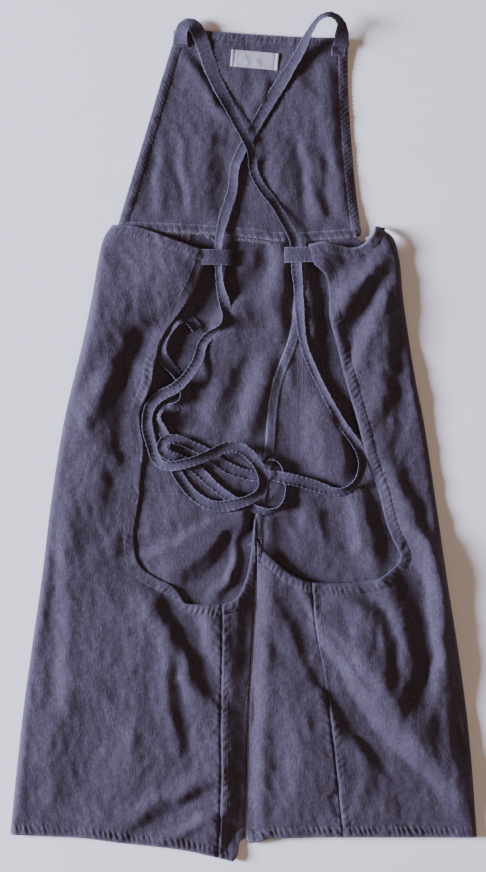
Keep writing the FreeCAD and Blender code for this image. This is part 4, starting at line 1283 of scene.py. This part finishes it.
# Places along a stitch, how far it sinks into the cloth there, and its share of its width.
STITCH_SHAPE = ((0.0, 0.32, 0.5), (0.16, 0.0, 1.0), (0.5, -0.06, 1.1), (0.84, 0.0, 1.0),
                (1.0, 0.32, 0.5))


def stitches(name, rows, body, width=0.55, share=0.72):
    """Rows of machine stitches: `rows` holds (line, height function) pairs.

    Each stitch is a small rounded bar that dips into the cloth at both ends.
    """
    verts, faces = [], []
    for line, height in rows:
        line = evenly(line, 0.35)
        run = run_of(line)
        z = height(line)
        for k in range(int(run[-1] / STITCH)):
            centres, sides, ups = [], [], []
            for part, sink, size in STITCH_SHAPE:
                at = (k + share * part) * STITCH
                x, y, h = (np.interp(at, run, axis) for axis in (line[:, 0], line[:, 1], z))
                ends = (max(at - 0.5, 0.0), min(at + 0.5, run[-1]))
                dx, dy = (np.diff(np.interp(ends, run, axis))[0] for axis in line.T)
                radius = width / 2 * size
                centres.append(np.array([x, y, h - sink + 0.10]))
                sides.append(np.array([-dy, dx, 0]) / (math.hypot(dx, dy) or 1.0) * radius)
                ups.append(np.array([0, 0, 0.7 * radius]))
            add_tube(verts, faces, centres, sides, ups, 6)
    obj = make_piece(name, verts, faces, THREAD_LOOK)
    return settle(obj, "washed_linen", *body)


def row(line, offset):
    """A stitch row beside an edge."""
    return beside(evenly(line, 1.5), offset)


def on_strip(profile, line, offset):
    """Height along a row that runs on a seam band."""
    run = run_of(line)
    return lambda p: profile(p, np.full(len(p), offset), np.interp(
        np.arange(len(p)), np.linspace(0, len(p) - 1, len(run)), run))


def band_rows(profile, middle, *offsets):
    """Stitch rows on a seam band, each at its offset from the band's own line."""
    return [(row(middle, offset), on_strip(profile, evenly(middle, 1.5), offset))
            for offset in offsets]


SKIRT = ("skirt", [])
for side, edge, top, sign in (("left", LEFT_EDGE, TOP_LINES[0], -1),
                              ("right", RIGHT_EDGE, TOP_LINES[1], 1)):
    stitches(side + "_opening_stitching",
             [(row(edge, sign * 10.6), back_height), (row(top, sign * 10.2), back_height)], SKIRT)
for side, line in (("left", smooth(LEFT_HEM)[2:-3]), ("right", HEM_LINES[1][3:-2])):
    stitches(side + "_leg_hem_stitching", [(row(line, 10.6), back_height)], (side + "_leg", []))
for side, line in zip(("left", "right"), SEAM_LINES):
    stitches(side + "_leg_seam_stitching",
             [(row(line[1:-2], offset), back_height) for offset in (2.6, 7.2)],
             ("skirt", [], side + "_leg"))
stitches("centre_seam_stitching", band_rows(seam_profile, seam_middle, -4.0, 4.0), SKIRT)
stitches("waist_stitching", band_rows(waist_profile, waist_middle, 1.8, 7.4), SKIRT)
pocket_rows = []
for x in POCKET_X:
    for margin in (2.0, 7.5):
        left, right = x - POCKET_HALF + margin, x + POCKET_HALF - margin
        low, high = POCKET_Y[0] + margin, POCKET_Y[1]
        path = [(left, high), (left, low), (right, low), (right, high)]
        pocket_rows.append((evenly(path, 1.0), front_height))
stitches("pocket_stitching", pocket_rows, SKIRT)
for side, (line, sign, profile) in BIB_HEMS.items():
    stitches("bib_%s_hem_stitching" % side, band_rows(profile, smooth(line)[:-8], sign * 8.2),
             ("bib_fold", []))
stitches("bib_top_stitching", band_rows(BIB_TOP_PROFILE, smooth(BIB_TOP)[3:-3], -7.0),
         ("bib", []))


def loose_thread(name, starts, seed, reach=5.0, radius=0.25, steps=10):
    """Curled ends of thread: thin tubes that wander from each start point."""
    rng = np.random.RandomState(seed)
    verts, faces = [], []
    for start in starts:
        heading = rng.uniform(0, 2 * math.pi)
        path = [np.array(start, float)]
        for _ in range(steps):
            heading += rng.uniform(-0.9, 0.9)
            path.append(path[-1] + (math.cos(heading) * reach / steps,
                                    math.sin(heading) * reach / steps,
                                    rng.uniform(-0.12, 0.14)))
        ahead = unit(np.gradient(np.array(path), axis=0))
        flat = unit(np.cross(ahead, (0, 0, 1)))
        add_tube(verts, faces, path, flat * radius, np.cross(flat, ahead) * radius, 5)
    settle(make_piece(name, verts, faces, OVERLOCK_LOOK), "washed_linen", "skirt", [])


def overlock(name, line, height, seed, pitch=2.0, depth=3.2, radius=0.18):
    """An overlocked raw edge: slanted loops of pale thread."""
    rng = np.random.RandomState(seed)
    line = evenly(line, 0.6)
    run = run_of(line)
    verts, faces = [], []
    for at in np.arange(0.5, run[-1] - 1, pitch):
        x, y = (np.interp(at, run, line[:, k]) for k in (0, 1))
        slant = rng.uniform(0.6, 1.8)
        path = smooth([(x, y - 0.8), (x + slant * 0.4, y + depth * 0.45),
                       (x + slant, y + depth * 0.95), (x + slant * 1.5, y + depth * 0.4),
                       (x + pitch * 0.9, y - 0.9)], 0.9)
        z = height(path) + 0.25 + 0.15 * np.sin(np.linspace(0, math.pi, len(path)))
        ahead = unit(np.gradient(path, axis=0))
        sides = np.column_stack([-ahead[:, 1], ahead[:, 0], 0 * z]) * radius
        add_tube(verts, faces, np.column_stack([path, z]), sides,
                 [np.array([0, 0, 0.16])] * len(path), 5)
    settle(make_piece(name, verts, faces, OVERLOCK_LOOK), "washed_linen", "skirt", [])


def waist_top(p):
    return front_height(p) + 1.3


overlock("waist_overlock_left", [(-88.0, 236.5), (-60, 235.5), (-31, 234)], waist_top, 501)
overlock("waist_overlock_middle", [(-12.0, 228.5), (14, 226.5), (30, 223.5)], waist_top, 502)
frays = np.random.RandomState(61)
fray_at = np.concatenate([frays.uniform(-86, -34, 16), frays.uniform(-10, 14, 8)])
loose_thread("waist_frayed_ends",
             [(x, np.interp(x, (-88, -31, 14), (232, 230.5, 226)) + frays.uniform(-2, 5), 5.2)
              for x in fray_at], 62)

low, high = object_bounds()
